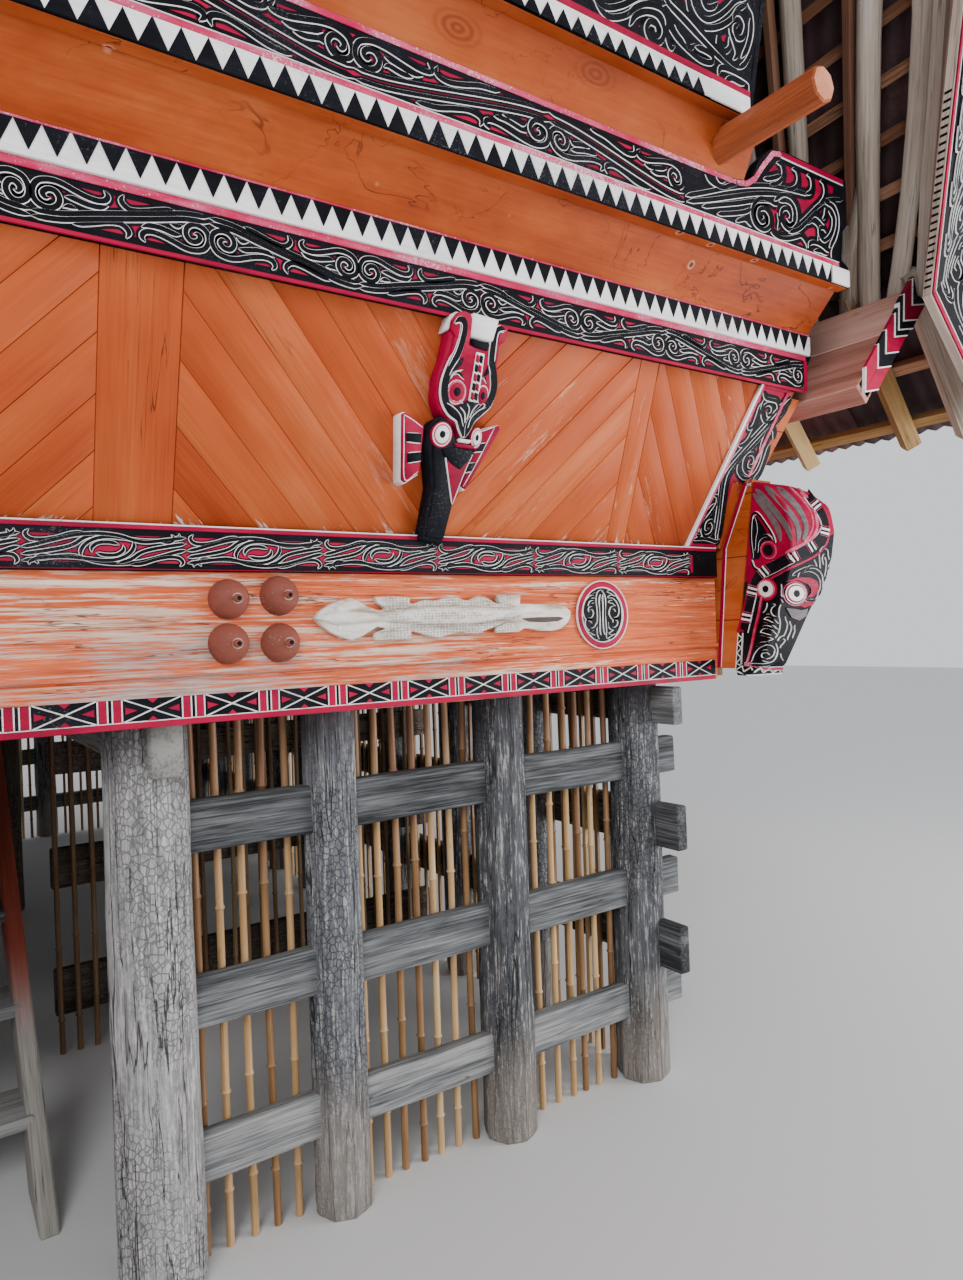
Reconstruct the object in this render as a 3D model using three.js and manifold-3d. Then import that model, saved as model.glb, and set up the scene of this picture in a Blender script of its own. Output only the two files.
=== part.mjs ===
// A batak house: a timber saddle-roof house on posts, entered by a stair through the floor.
// Millimetres, +Z up, front facing -Y. The origin is on the ground under the middle of the house.
// Lengths along Y are first measured from the front row of posts, and the whole house is
// shifted at the end so that the origin lies half way between its front and rear.

import * as THREE from "three";
import { mergeVertices } from "three/addons/utils/BufferGeometryUtils.js";
import Module from "manifold-3d";

const wasm = await Module();
wasm.setup();

// Driving dimensions of the substructure

const bodyDepth = 6400; // front posts to rear posts, on centres
const postColumns = [580, 1110, 1740, 2380]; // distances of the posts from the middle
const postRadii = [110, 85, 90, 95];
const sidePostRadius = 85;
const innerPostRadius = 90;
const sideBays = 10;
const postTop = 1514.6;
const gap = 0.4; // clearance between pieces that touch

const railThickness = 50;
const frontRailHeights = [[240, 370], [665, 805], [1148, 1290]]; // bottom and top of each rail
const sideRailHeights = [[432, 606], [887, 1055], [1360, 1500]];
const sideRailInner = 2396; // distance of the side rails' inner faces from the middle
const railEnd = 105; // how far rails stand out past a corner post
const bambooRadius = 12;
const bambooTop = 1500;
const bambooPitch = 68;
const innerRailHeights = [[156, 350], [696, 865], [1180, 1320]];
const innerRailY = [1620, 1665];
const innerRailStart = 540;

// Driving dimensions of the floor and the main beams

const floorBottom = 1515;
const floorThickness = 40;
const floorHalfWidth = 2860;
const beamTop = 1905;
const beamFront = -200; // front face of the front beam
const beamThickness = 150;
const hatchHalfWidth = 500;
const hatchFront = 750;
const hatchRear = 1950;
const innerRows = [1600, 4000]; // the first row stops at the hatch trimmers, the second runs through
const innerColumns = [[930, 1810], [580, 1740]];
const crossBeamHeight = 114;
const trimmer = { low: 1375, width: 85, middle: 605.5, front: -135 };

const sideBeam = { low: 1557, high: 2270, innerLow: 2650, innerHigh: 2730, thickness: 110 };
const sideBeamNose = { low: 285, high: 325 }; // how far the side beams reach before the posts

// Driving dimensions of the leaning walls

const wallLow = 2020;
const wallHigh = 2605;
const wallLean = -0.339; // forward travel of the front wall for each unit of height
const wallThickness = 40;
const wallHalfLow = 2645;
const wallHalfHigh = 2905;
const upperBand = { face: -430, back: -365, high: 2820 };
const flaredBand = { face: -600, low: 2940, high: 3170, tip: 3333, half: 2960 };
const gableBase = { face: -700, low: 3300, high: 3800, half: 2310, lean: -0.2 };
const gablePeak = { top: 7750, halfTop: 100, lean: -0.42 };

// The wall plate is a leaning board along each side: its section is given in X and Z.
const plateSection = [[2907, 2580.4], [3330, 3010], [3390, 2955], [3020, 2535], [2962, 2580.4]];
const plateEnd = 620; // how far it runs before the posts

// Driving dimensions of the roof: the underside of its covering at the eave, bend and ridge

const roof = {
  eaveX: 3950,
  eaveZ: 2570,
  bendX: 3420,
  bendZ: 3100,
  overhang: 800,
  ridgeOverhang: 3330,
  ridgeMiddle: 7000,
  ridgeRise: 1500,
};
const coverThickness = 35;
const coverSteps = 12;
const rafterRadius = 45;
const rafterDrop = 150; // rafter centres below the covering on the main slope
const tailDrop = 113; // and on the eave
const battenSize = { width: 60, depth: 94 };
const battenRows = [0.55, 1.28, 1.52, 1.78];
const rafterStations = [0.022, 0.037, 0.052, 0.095, 0.18, 0.27, 0.36, 0.455];
const vergeWidth = 340;
const vergeThickness = 35;
const ridgeBeam = { halfWidth: 50, high: 170, low: 330 };
const purlin = { x: 2250, z: 3240, radius: 52, front: -985 };

// Driving dimensions of the stair

const stair = {
  foot: 380,
  steps: 6,
  rise: 259,
  going: 254,
  halfWidth: 380,
  stringerWidth: 190,
  stringerThickness: 55,
  treadThickness: 40,
  treadDepth: 230,
};

const finishes = {
  greyPost: { color: 0x8d8a84, roughness: 0.9, metalness: 0 },
  darkPost: { color: 0x4c4a48, roughness: 0.85, metalness: 0 },
  greyRail: { color: 0x77736d, roughness: 0.9, metalness: 0 },
  orangeWood: { color: 0xc0622f, roughness: 0.5, metalness: 0 },
  brownWood: { color: 0x8c5a4b, roughness: 0.6, metalness: 0 },
  floorWood: { color: 0x7a5a40, roughness: 0.8, metalness: 0 },
  carvedPaint: { color: 0x2c2c34, roughness: 0.6, metalness: 0 },
  maskPaint: { color: 0xc21f3c, roughness: 0.5, metalness: 0 },
  poleWood: { color: 0x8e8478, roughness: 0.9, metalness: 0 },
  roofSheet: { color: 0x5a3c3a, roughness: 0.7, metalness: 0.4 },
};

// Solids from three.js geometry

function solid(geometry) {
  const bare = geometry.clone();
  bare.deleteAttribute("normal");
  bare.deleteAttribute("uv");
  const merged = mergeVertices(bare, 1e-3);
  const triVerts = new Uint32Array(merged.index.array);
  const make = () =>
    new wasm.Manifold(
      new wasm.Mesh({ numProp: 3, vertProperties: merged.attributes.position.array, triVerts }),
    );
  const made = make();
  if (made.volume() > 0) return made;
  for (let i = 0; i < triVerts.length; i += 3) {
    [triVerts[i + 1], triVerts[i + 2]] = [triVerts[i + 2], triVerts[i + 1]];
  }
  return make();
}

function geometryOf(manifold) {
  const m = manifold.getMesh();
  const positions = new Float32Array(m.numVert * 3);
  for (let i = 0; i < m.numVert; i++) {
    positions.set(m.vertProperties.subarray(i * m.numProp, i * m.numProp + 3), i * 3);
  }
  const geometry = new THREE.BufferGeometry();
  geometry.setAttribute("position", new THREE.BufferAttribute(positions, 3));
  geometry.setIndex(new THREE.BufferAttribute(m.triVerts, 1));
  geometry.computeVertexNormals();
  return geometry;
}

const join = (pieces) => pieces.reduce((whole, piece) => whole.add(piece));

function block([x0, x1], [y0, y1], [z0, z1]) {
  const box = new THREE.BoxGeometry(x1 - x0, y1 - y0, z1 - z0);
  return solid(box.translate((x0 + x1) / 2, (y0 + y1) / 2, (z0 + z1) / 2));
}

// A round pole from one point to another.
function pole(from, to, radius, endRadius = radius, sides = 6) {
  const a = new THREE.Vector3(...from);
  const b = new THREE.Vector3(...to);
  const along = b.clone().sub(a);
  const shape = new THREE.CylinderGeometry(endRadius, radius, along.length(), sides);
  const turn = new THREE.Quaternion();
  turn.setFromUnitVectors(new THREE.Vector3(0, 1, 0), along.clone().normalize());
  shape.applyQuaternion(turn);
  const middle = a.add(b).multiplyScalar(0.5);
  return solid(shape.translate(middle.x, middle.y, middle.z));
}

const outline = (points) => new THREE.Shape(points.map(([u, v]) => new THREE.Vector2(u, v)));

// An outline in X and Z, drawn out along Y.
function extrudeAlongY(points, y0, y1) {
  const shape = new THREE.ExtrudeGeometry(outline(points), { depth: y1 - y0, bevelEnabled: false });
  const x = new THREE.Vector3(1, 0, 0);
  const z = new THREE.Vector3(0, 0, 1);
  const y = new THREE.Vector3(0, -1, 0);
  shape.applyMatrix4(new THREE.Matrix4().makeBasis(x, z, y));
  return shape.translate(0, y1, 0);
}

// An outline in Y and Z, drawn out along X to both sides of the middle.
function extrudeAlongX(points, half) {
  const shape = new THREE.ExtrudeGeometry(outline(points), { depth: 2 * half, bevelEnabled: false });
  const x = new THREE.Vector3(1, 0, 0);
  const y = new THREE.Vector3(0, 1, 0);
  const z = new THREE.Vector3(0, 0, 1);
  shape.applyMatrix4(new THREE.Matrix4().makeBasis(y, z, x));
  return shape.translate(-half, 0, 0);
}

// Leans a geometry forward or back: Y changes by lean for each unit above z0.
function leaned(geometry, lean, z0) {
  const shear = new THREE.Matrix4().set(1, 0, 0, 0, 0, 1, lean, -lean * z0, 0, 0, 1, 0, 0, 0, 0, 1);
  return geometry.applyMatrix4(shear);
}

// A box whose grid points are placed by a function of three numbers from 0 to 1.
function bentBox(place, stepsS, stepsT) {
  const box = new THREE.BoxGeometry(1, 1, 1, stepsS, stepsT, 1);
  const position = box.attributes.position;
  for (let i = 0; i < position.count; i++) {
    const [x, y, z] = place(position.getX(i) + 0.5, position.getY(i) + 0.5, position.getZ(i) + 0.5);
    position.setXYZ(i, x, y, z);
  }
  return solid(box);
}

const mix = (a, b, t) => a + (b - a) * t;

// A bar with a four-cornered section at each end: corners are [x, z] pairs, in turn round it.
function bar(corners, frontY, rearY) {
  const place = (s, t, w) => {
    const corner = w < 0.5 ? (s < 0.5 ? 0 : 1) : s < 0.5 ? 3 : 2;
    const [x, z] = corners[corner];
    return [x, t < 0.5 ? frontY[corner] : rearY[corner], z];
  };
  return bentBox(place, 1, 1);
}

const mirrorX = (m) => m.mirror([1, 0, 0]);
const toRear = (m) => m.mirror([0, 1, 0]).translate([0, bodyDepth, 0]);

const house = new THREE.Group();

function addPiece(name, manifold, finish) {
  const mesh = new THREE.Mesh(geometryOf(manifold), new THREE.MeshStandardMaterial(finishes[finish]));
  mesh.name = name;
  mesh.position.y = -bodyDepth / 2;
  house.add(mesh);
}

// Adds a piece on the right and its mirror image on the left.
function addPair(name, manifold, finish) {
  addPiece(name + "_right", manifold, finish);
  addPiece(name + "_left", mirrorX(manifold), finish);
}

// Posts, rails and stall fences

function railBox(x, y, [low, high], slack = 0) {
  return block(
    [x[0] - slack, x[1] + slack],
    [y[0] - slack, y[1] + slack],
    [low - slack, high + slack],
  );
}

const frontRailX = [postColumns[0] + 40, postColumns[3] + postRadii[3] + railEnd];
const frontRailY = [-30, -30 + railThickness];
const sideRailX = [sideRailInner, sideRailInner + railThickness];
const sideRailY = [-postRadii[3] - railEnd, bodyDepth + postRadii[3] + railEnd];

function frontRails(slack = 0) {
  return join(frontRailHeights.map((h) => railBox(frontRailX, frontRailY, h, slack)));
}

function sideRails(slack = 0) {
  return join(sideRailHeights.map((h) => railBox(sideRailX, sideRailY, h, slack)));
}

const trimmerX = [trimmer.middle - trimmer.width / 2, trimmer.middle + trimmer.width / 2];
const trimmerRear = innerRows[1] - 50;

function trimmerBeam(slack = 0) {
  const high = floorBottom - gap;
  return block(
    [trimmerX[0] - slack, trimmerX[1] + slack],
    [trimmer.front - slack, trimmerRear - gap + slack],
    [trimmer.low - slack, high + slack],
  );
}

postColumns.forEach((x, column) => {
  const radius = postRadii[column];
  let post = pole([x, 0, 0], [x, 0, postTop], radius * 1.06, radius, 10);
  post = post.subtract(frontRails(gap));
  if (column === 0) post = post.subtract(trimmerBeam(gap));
  if (column === 3) post = post.subtract(sideRails(gap));
  addPair("front_post_" + (column + 1), post, column === 0 ? "greyPost" : "darkPost");
});

// Bamboo poles stand behind the front rails, evenly spaced in each bay.
function bambooRow() {
  const poles = [];
  for (let bay = 0; bay < 3; bay++) {
    const from = postColumns[bay] + postRadii[bay] * 1.06 + bambooRadius;
    const to = postColumns[bay + 1] - postRadii[bay + 1] * 1.06 - bambooRadius;
    for (let x = from; x <= to; x += bambooPitch) {
      poles.push(pole([x, 25, 0], [x, 25, bambooTop], bambooRadius, bambooRadius, 4));
    }
  }
  return join(poles);
}

addPair("front_stall_fence", frontRails().add(bambooRow()), "greyRail");

// The cross beams rest on the inner posts and carry the side beams.
function crossBeam(y, slack = 0) {
  const top = floorBottom - gap;
  const half = floorHalfWidth + slack;
  return block([-half, half], [y - 50 - slack, y + 50 + slack], [top - crossBeamHeight - slack, top + slack]);
}

const crossBeams = (slack) => join(innerRows.map((y) => crossBeam(y, slack)));

function sideFrame() {
  const posts = [];
  for (let bay = 1; bay < sideBays; bay++) {
    const y = (bodyDepth / sideBays) * bay;
    posts.push(pole([2380, y, 0], [2380, y, postTop], sidePostRadius, sidePostRadius, 6));
  }
  return join([sideRails(), ...posts]).subtract(crossBeams(gap));
}

addPair("side_post_frame", sideFrame(), "darkPost");

function rearFrame() {
  const rearY = frontRailY.map((y) => bodyDepth - y).reverse();
  const reach = frontRailX[1];
  const rails = frontRailHeights.map((h) => railBox([-reach, reach], rearY, h));
  const posts = postColumns.flatMap((x, column) =>
    [-x, x].map((at) => pole([at, bodyDepth, 0], [at, bodyDepth, postTop], postRadii[column], undefined, 8)),
  );
  const holes = sideRails(gap);
  return join([...rails, ...posts]).subtract(holes).subtract(mirrorX(holes));
}

addPiece("rear_post_frame", rearFrame(), "darkPost");

function innerPost(x, y) {
  const underside = floorBottom - gap - crossBeamHeight;
  return pole([x, y, 0], [x, y, underside + 20], innerPostRadius, undefined, 8);
}

const trimmers = (slack) => trimmerBeam(slack).add(mirrorX(trimmerBeam(slack)));

function frontInnerRow() {
  const y = innerRows[0];
  const besideHatch = block([trimmerX[1] - 5, 3000], [y - 60, y + 60], [0, postTop]);
  const half = crossBeam(y).intersect(besideHatch);
  const posts = innerColumns[0].map((x) => innerPost(x, y));
  const rails = innerRailHeights.map((h) => railBox([innerRailStart, sideRailInner - gap], innerRailY, h));
  return join([half, ...posts, ...rails]).subtract(trimmerBeam(gap));
}

function rearInnerRow() {
  const y = innerRows[1];
  const posts = innerColumns[1].flatMap((x) => [innerPost(-x, y), innerPost(x, y)]);
  return join([crossBeam(y), ...posts]).subtract(trimmers(gap));
}

addPair("inner_post_row_1", frontInnerRow(), "darkPost");
addPiece("inner_post_row_2", rearInnerRow(), "darkPost");

addPair("hatch_trimmer", trimmerBeam(), "greyRail");

// Floor, in four pieces round the hatch

const floorZ = [floorBottom, floorBottom + floorThickness];
const floorFront = beamFront + beamThickness + gap;
const floorRear = bodyDepth - floorFront;
addPair(
  "floor_side",
  block([hatchHalfWidth, floorHalfWidth], [floorFront, floorRear], floorZ),
  "floorWood",
);
const hatchEdge = [-hatchHalfWidth + gap, hatchHalfWidth - gap];
addPiece("floor_front", block(hatchEdge, [floorFront, hatchFront], floorZ), "floorWood");
addPiece("floor_rear", block(hatchEdge, [hatchRear, floorRear], floorZ), "floorWood");

// Front, rear and side beams

const beamHalf = sideBeam.innerLow - gap;
const frontBeam = block(
  [-beamHalf, beamHalf],
  [beamFront, beamFront + beamThickness],
  [floorBottom, beamTop],
);
addPiece("front_beam", frontBeam, "orangeWood");
addPiece("rear_beam", toRear(frontBeam), "orangeWood");

const sideBeamCorners = [
  [sideBeam.innerLow, sideBeam.low],
  [sideBeam.innerLow + sideBeam.thickness, sideBeam.low],
  [sideBeam.innerHigh + sideBeam.thickness, sideBeam.high],
  [sideBeam.innerHigh, sideBeam.high],
];
const noses = [sideBeamNose.low, sideBeamNose.low, sideBeamNose.high, sideBeamNose.high];
const sideBeamSolid = bar(
  sideBeamCorners,
  noses.map((n) => -n),
  noses.map((n) => bodyDepth + n),
);
addPair("side_beam", sideBeamSolid, "orangeWood");

// Carved heads on the noses of the side beams

function beamHead() {
  const low = 1530;
  const profile = [
    [-200, low],
    [-325, low],
    [-410, low + 40],
    [-470, low + 200],
    [-520, low + 420],
    [-530, low + 600],
    [-470, low + 700],
    [-200, low + 735],
  ];
  const raw = extrudeAlongX(profile, 140).translate(2790, 0, 0);
  const tilt = new THREE.Matrix4().set(1, 0, 0.11, -0.11 * low, 0, 1, 0, 0, 0, 0, 1, 0, 0, 0, 0, 1);
  raw.applyMatrix4(tilt);
  // The head is cut flat along the slanting end of the beam.
  const noseAt = (z) => {
    const rise = (z - sideBeam.low) / (sideBeam.high - sideBeam.low);
    return -mix(sideBeamNose.low, sideBeamNose.high, rise) - gap;
  };
  const [under, over] = [1400, 2400];
  const corners = [
    [2300, under],
    [3400, under],
    [3400, over],
    [2300, over],
  ];
  const cutter = bar(corners, corners.map(([, z]) => noseAt(z)), [0, 0, 0, 0]);
  return solid(raw).subtract(cutter);
}

addPair("beam_head", beamHead(), "maskPaint");

// Leaning front wall with its bands and outward steps

const wallStep = { x: 2765, z: sideBeam.high + gap }; // where the wall clears the side beams
const wallEdge = (z) => mix(wallStep.x, wallHalfHigh, (z - wallStep.z) / (wallHigh - gap - wallStep.z));
const wallFaceAt = (z) => beamFront + wallLean * (z - wallLow);

const mirrored = (points) => [...points, ...points.map(([x, z]) => [-x, z]).reverse()];

const lowBand = block(
  [-wallHalfLow, wallHalfLow],
  [beamFront - 15, beamFront + wallThickness],
  [beamTop + gap, wallLow - gap],
);

function frontWall() {
  const points = [
    [wallHalfLow + 45, wallLow],
    [sideBeam.innerHigh - gap, wallStep.z],
    [wallStep.x, wallStep.z],
    [wallHalfHigh, wallHigh - gap],
  ];
  const raw = extrudeAlongY(mirrored(points), beamFront, beamFront + wallThickness);
  const clear = bar(
    [
      [sideBeam.innerLow - gap, sideBeam.low],
      [sideBeam.innerLow + 400, sideBeam.low],
      [sideBeam.innerHigh + 400, sideBeam.high + gap],
      [sideBeam.innerHigh - gap, sideBeam.high + gap],
    ],
    [-600, -600, -600, -600],
    [600, 600, 600, 600],
  );
  return solid(leaned(raw, wallLean, wallLow)).subtract(clear).subtract(mirrorX(clear));
}

const bandEnds = [[2880, wallHigh], [2970, 2740], [2970, upperBand.high]];
const upperBandSolid = solid(extrudeAlongY(mirrored(bandEnds), upperBand.face, upperBand.back));

const lowerStepProfile = [
  [-432, upperBand.high + gap],
  [flaredBand.face + wallThickness + gap, 2955],
  [flaredBand.face + wallThickness + gap, 3005],
  [-385, upperBand.high + gap],
];
const lowerStep = solid(extrudeAlongX(lowerStepProfile, 2950));

const flare = [
  [flaredBand.half, flaredBand.low],
  [flaredBand.half, flaredBand.tip],
  [2600, flaredBand.tip + 4],
  [2530, flaredBand.tip - 8],
  [2470, 3272],
  [2420, 3200],
  [2390, flaredBand.high + 10],
  [2385, flaredBand.high],
];
const flaredBandSolid = solid(
  extrudeAlongY(mirrored(flare), flaredBand.face, flaredBand.face + wallThickness),
);

function purlinPole(slack = 0) {
  const rear = bodyDepth - purlin.front;
  const at = (y) => [purlin.x, y, purlin.z];
  return pole(at(purlin.front), at(rear), purlin.radius + slack, undefined, 8);
}

const upperStepProfile = [
  [flaredBand.face + 2, flaredBand.high + gap],
  [gableBase.face + wallThickness + gap, gableBase.low],
  [gableBase.face + wallThickness + gap, gableBase.low + 48],
  [flaredBand.face + wallThickness, flaredBand.high + gap],
];
const upperStep = solid(extrudeAlongX(upperStepProfile, 2380))
  .subtract(purlinPole(gap))
  .subtract(mirrorX(purlinPole(gap)));

const gableBasePoints = mirrored([
  [gableBase.half, gableBase.low],
  [gableBase.half, gableBase.high],
]);
const gableBaseSolid = solid(
  leaned(
    extrudeAlongY(gableBasePoints, gableBase.face, gableBase.face + wallThickness),
    gableBase.lean,
    gableBase.low + 60,
  ),
).subtract(block([-3000, 3000], [-660, -500], [3200, 3360]));

const peakFace = gableBase.face + gableBase.lean * (gableBase.high - gableBase.low - 60);
const peakPoints = mirrored([
  [gableBase.half - 10, gableBase.high + gap],
  [gablePeak.halfTop, gablePeak.top],
]);
const peakSolid = solid(
  leaned(
    extrudeAlongY(peakPoints, peakFace, peakFace + wallThickness),
    gablePeak.lean,
    gableBase.high,
  ),
);

addPiece("front_low_band", lowBand, "carvedPaint");
addPiece("front_wall", frontWall(), "orangeWood");
addPiece("front_upper_band", upperBandSolid, "carvedPaint");
addPiece("front_lower_step_board", lowerStep, "orangeWood");
addPiece("front_flared_band", flaredBandSolid, "carvedPaint");
addPiece("front_upper_step_board", upperStep, "orangeWood");
addPiece("front_gable_panel", gableBaseSolid, "carvedPaint");
addPiece("front_gable_peak", peakSolid, "orangeWood");

// The plain rear front repeats the shapes, with each band made in one with its board.
const bandJoin = (x, y, z) => block([-x, x], [y, y + 28], [z - 6, z + 6]);
const rearWall = join([lowBand, frontWall(), bandJoin(2600, beamFront + 4, wallLow)]);
const rearUpperBand = join([upperBandSolid, lowerStep, bandJoin(2900, -425, upperBand.high)]);
const rearFlaredBand = join([
  flaredBandSolid,
  upperStep,
  bandJoin(2370, flaredBand.face + 6, flaredBand.high),
]);
const rearGable = join([gableBaseSolid, peakSolid, bandJoin(2280, peakFace + 6, gableBase.high)]);
addPiece("rear_wall", toRear(rearWall), "orangeWood");
addPiece("rear_upper_band", toRear(rearUpperBand), "orangeWood");
addPiece("rear_flared_band", toRear(rearFlaredBand), "orangeWood");
addPiece("rear_gable", toRear(rearGable), "orangeWood");

addPair("purlin", purlinPole(), "orangeWood");

// Side walls and the leaning wall plates

function sideWall() {
  const low = wallStep.z;
  const high = plateSection[0][1] - gap;
  const corners = [
    [wallEdge(low) + gap, low],
    [wallEdge(low) + 45, low],
    [wallEdge(high) + 52, high],
    [wallEdge(high) + gap, high],
  ];
  const fronts = [wallFaceAt(low), wallFaceAt(low), wallFaceAt(high), wallFaceAt(high)];
  return bar(corners, fronts, fronts.map((y) => bodyDepth - y));
}

addPair("side_wall", sideWall(), "orangeWood");

const wallPlate = solid(extrudeAlongY(plateSection, -plateEnd, bodyDepth + plateEnd));
addPair("wall_plate", wallPlate, "brownWood");

// Carved masks hung on the front wall

const maskPoints = [
  [1275, 2600],
  [1270, 2450],
  [1262, 2360],
  [1168, 2350],
  [1212, 2150],
  [1290, 2165],
  [1278, 2030],
  [1412, 2030],
  [1440, 2150],
  [1530, 2330],
  [1495, 2420],
  [1490, 2530],
  [1510, 2600],
];
const maskRaw = extrudeAlongY(maskPoints, beamFront - 60.4, beamFront - gap);
addPair("wall_mask", solid(leaned(maskRaw, wallLean, wallLow)), "maskPaint");

// Roof surfaces: u runs from 0 at the eave through 1 at the bend to 2 at the ridge,
// t from 0 at the front verge to 1 at the rear one, and drop is measured straight down.

const eaveLength = bodyDepth + 2 * roof.overhang;
const ridgeLength = bodyDepth + 2 * roof.ridgeOverhang;
const ridgeHeight = (t) => roof.ridgeMiddle + roof.ridgeRise * (2 * t - 1) ** 2;

function roofPoint(u, t, drop = 0) {
  const eaveY = -roof.overhang + eaveLength * t;
  if (u <= 1) {
    return [mix(roof.eaveX, roof.bendX, u), eaveY, mix(roof.eaveZ, roof.bendZ, u) - drop];
  }
  const ridgeY = -roof.ridgeOverhang + ridgeLength * t;
  const s = u - 1;
  return [
    mix(roof.bendX, gap, s),
    mix(eaveY, ridgeY, s),
    mix(roof.bendZ, ridgeHeight(t), s) - drop,
  ];
}

const slopeStops = [0, 1, 1.28, 1.52, 1.78, 2];
const stopAt = (s) => {
  const at = Math.round(s * (slopeStops.length - 1));
  return slopeStops[at];
};

function roofLayer(low, high) {
  const place = (s, t, w) => roofPoint(stopAt(s), t, w < 0.5 ? low : high);
  return bentBox(place, slopeStops.length - 1, coverSteps);
}

addPair("roof_cover", roofLayer(0, -coverThickness), "roofSheet");

function ridgePiece(slack = 0) {
  const place = (s, t, w) => {
    const half = ridgeBeam.halfWidth + slack;
    const x = mix(-half, half, s);
    const along = mix(0.006, 0.994, t);
    const z = ridgeHeight(along) - (w < 0.5 ? ridgeBeam.low + slack : ridgeBeam.high - slack);
    return [x, -roof.ridgeOverhang + ridgeLength * along, z];
  };
  return bentBox(place, 1, coverSteps);
}

addPiece("ridge_beam", ridgePiece(), "poleWood");

function rafterFrame() {
  const stations = [...rafterStations, ...rafterStations.map((t) => 1 - t)];
  const rafters = stations.flatMap((t) => {
    const main = pole(roofPoint(0.985, t, rafterDrop - 10), roofPoint(2, t, rafterDrop), rafterRadius, undefined, 5);
    const tail = pole(roofPoint(0.12, t, tailDrop), roofPoint(1.02, t, tailDrop + 20), 40, 40, 4);
    return [main, tail];
  });
  const battens = battenRows.map((u) => {
    const half = battenSize.width / (u < 1 ? 1500 : 12800);
    const place = (s, t, w) =>
      roofPoint(mix(u - half, u + half, s), mix(0.012, 0.988, t), w < 0.5 ? -20 : battenSize.depth);
    return bentBox(place, 1, coverSteps);
  });
  const whole = join([...rafters, ...battens]);
  const pastRidge = block([-300, ridgeBeam.halfWidth + gap], [-5000, 12000], [5000, 9000]);
  return whole.subtract(roofLayer(gap, -400)).subtract(platePrism).subtract(pastRidge);
}

const plateGrow = [[-1, -1], [-0.7, 0.7], [0.7, 0.3], [0.7, -0.7], [-0.5, -1]]; // clearance at each corner
const platePrism = solid(
  extrudeAlongY(
    plateSection.map(([x, z], i) => [x + plateGrow[i][0], z + plateGrow[i][1]]),
    -plateEnd - 1,
    bodyDepth + plateEnd + 1,
  ),
);

addPair("rafter_frame", rafterFrame(), "poleWood");

// Verge boards hang under the ends of the covering.
function vergeBoard() {
  const root = Math.SQRT1_2 * vergeWidth;
  const ridgeZ = ridgeHeight(0);
  const mainSlope = Math.hypot(roof.bendX, ridgeZ - roof.bendZ) / roof.bendX;
  const mainDrop = vergeWidth * mainSlope;
  const tailOffset = vergeWidth / Math.SQRT1_2;
  const rise = (ridgeZ - roof.bendZ) / roof.bendX;
  const inward = (mainDrop - tailOffset) / (rise - 1);
  const lower = [
    [roof.eaveX - root, roof.eaveZ - root],
    [roof.bendX - inward, roof.bendZ + inward - tailOffset],
    [gap, ridgeZ - mainDrop],
  ];
  const backDrop = [4, 14, 38]; // the covering falls away behind the verge
  const place = (s, t, w) => {
    const at = Math.round(s * 2);
    const back = w < 0.5 ? 0 : 1;
    const [topX, topY, topZ] = roofPoint(at, 0, gap + back * backDrop[at]);
    const y = topY + back * vergeThickness;
    if (t > 0.5) return [topX, y, topZ];
    return [lower[at][0], y, lower[at][1]];
  };
  return bentBox(place, 2, 1);
}

addPair("front_verge_board", vergeBoard(), "carvedPaint");
addPair("rear_verge_board", toRear(vergeBoard()), "orangeWood");

// Stair up to the hatch: two stringers and treads let into them

function stairFlight() {
  const run = stair.going * stair.steps;
  const high = stair.rise * stair.steps;
  const slope = high / run;
  const w = stair.stringerWidth;
  const side = [
    [stair.foot, 0],
    [stair.foot + w * Math.hypot(1, slope) / slope, 0],
    [hatchRear - gap, high - w * 0.62],
    [hatchRear - gap, high - 2],
    [stair.foot + run - 30, high - 2],
  ];
  const outer = stair.halfWidth;
  const inner = stair.halfWidth - stair.stringerThickness;
  const left = solid(extrudeAlongX(side, stair.stringerThickness / 2)).translate([-(outer + inner) / 2, 0, 0]);
  const right = left.mirror([1, 0, 0]);
  const treads = [];
  for (let i = 1; i < stair.steps; i++) {
    const y = stair.foot + stair.going * i - 20;
    const top = stair.rise * i;
    treads.push(
      block([-inner - 20, inner + 20], [y, y + stair.treadDepth], [top - stair.treadThickness, top]),
    );
  }
  return join([left, right, ...treads]);
}

addPiece("stair", stairFlight(), "floorWood");

export default house;
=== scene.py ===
"""Batak house: the carving, paint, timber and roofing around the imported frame."""
import random
from math import cos, hypot, pi, radians, sin, tau

import bmesh
import bpy
from mathutils import Matrix, Vector, noise


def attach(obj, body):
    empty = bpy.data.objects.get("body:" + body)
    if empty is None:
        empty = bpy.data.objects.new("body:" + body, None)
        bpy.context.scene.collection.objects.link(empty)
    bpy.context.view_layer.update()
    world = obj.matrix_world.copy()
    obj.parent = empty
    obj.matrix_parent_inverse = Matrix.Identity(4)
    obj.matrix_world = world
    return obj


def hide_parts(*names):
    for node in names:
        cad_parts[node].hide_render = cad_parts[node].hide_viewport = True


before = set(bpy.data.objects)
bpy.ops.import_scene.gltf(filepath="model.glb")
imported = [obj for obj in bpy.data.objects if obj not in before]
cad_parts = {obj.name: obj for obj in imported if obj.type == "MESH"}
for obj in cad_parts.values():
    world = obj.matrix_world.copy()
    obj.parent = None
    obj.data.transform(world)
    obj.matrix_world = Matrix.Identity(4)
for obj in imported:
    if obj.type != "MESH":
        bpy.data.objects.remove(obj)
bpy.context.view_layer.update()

noise.seed_set(1)  # without this the hewn faces take their seed from the clock and differ on every run

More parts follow.
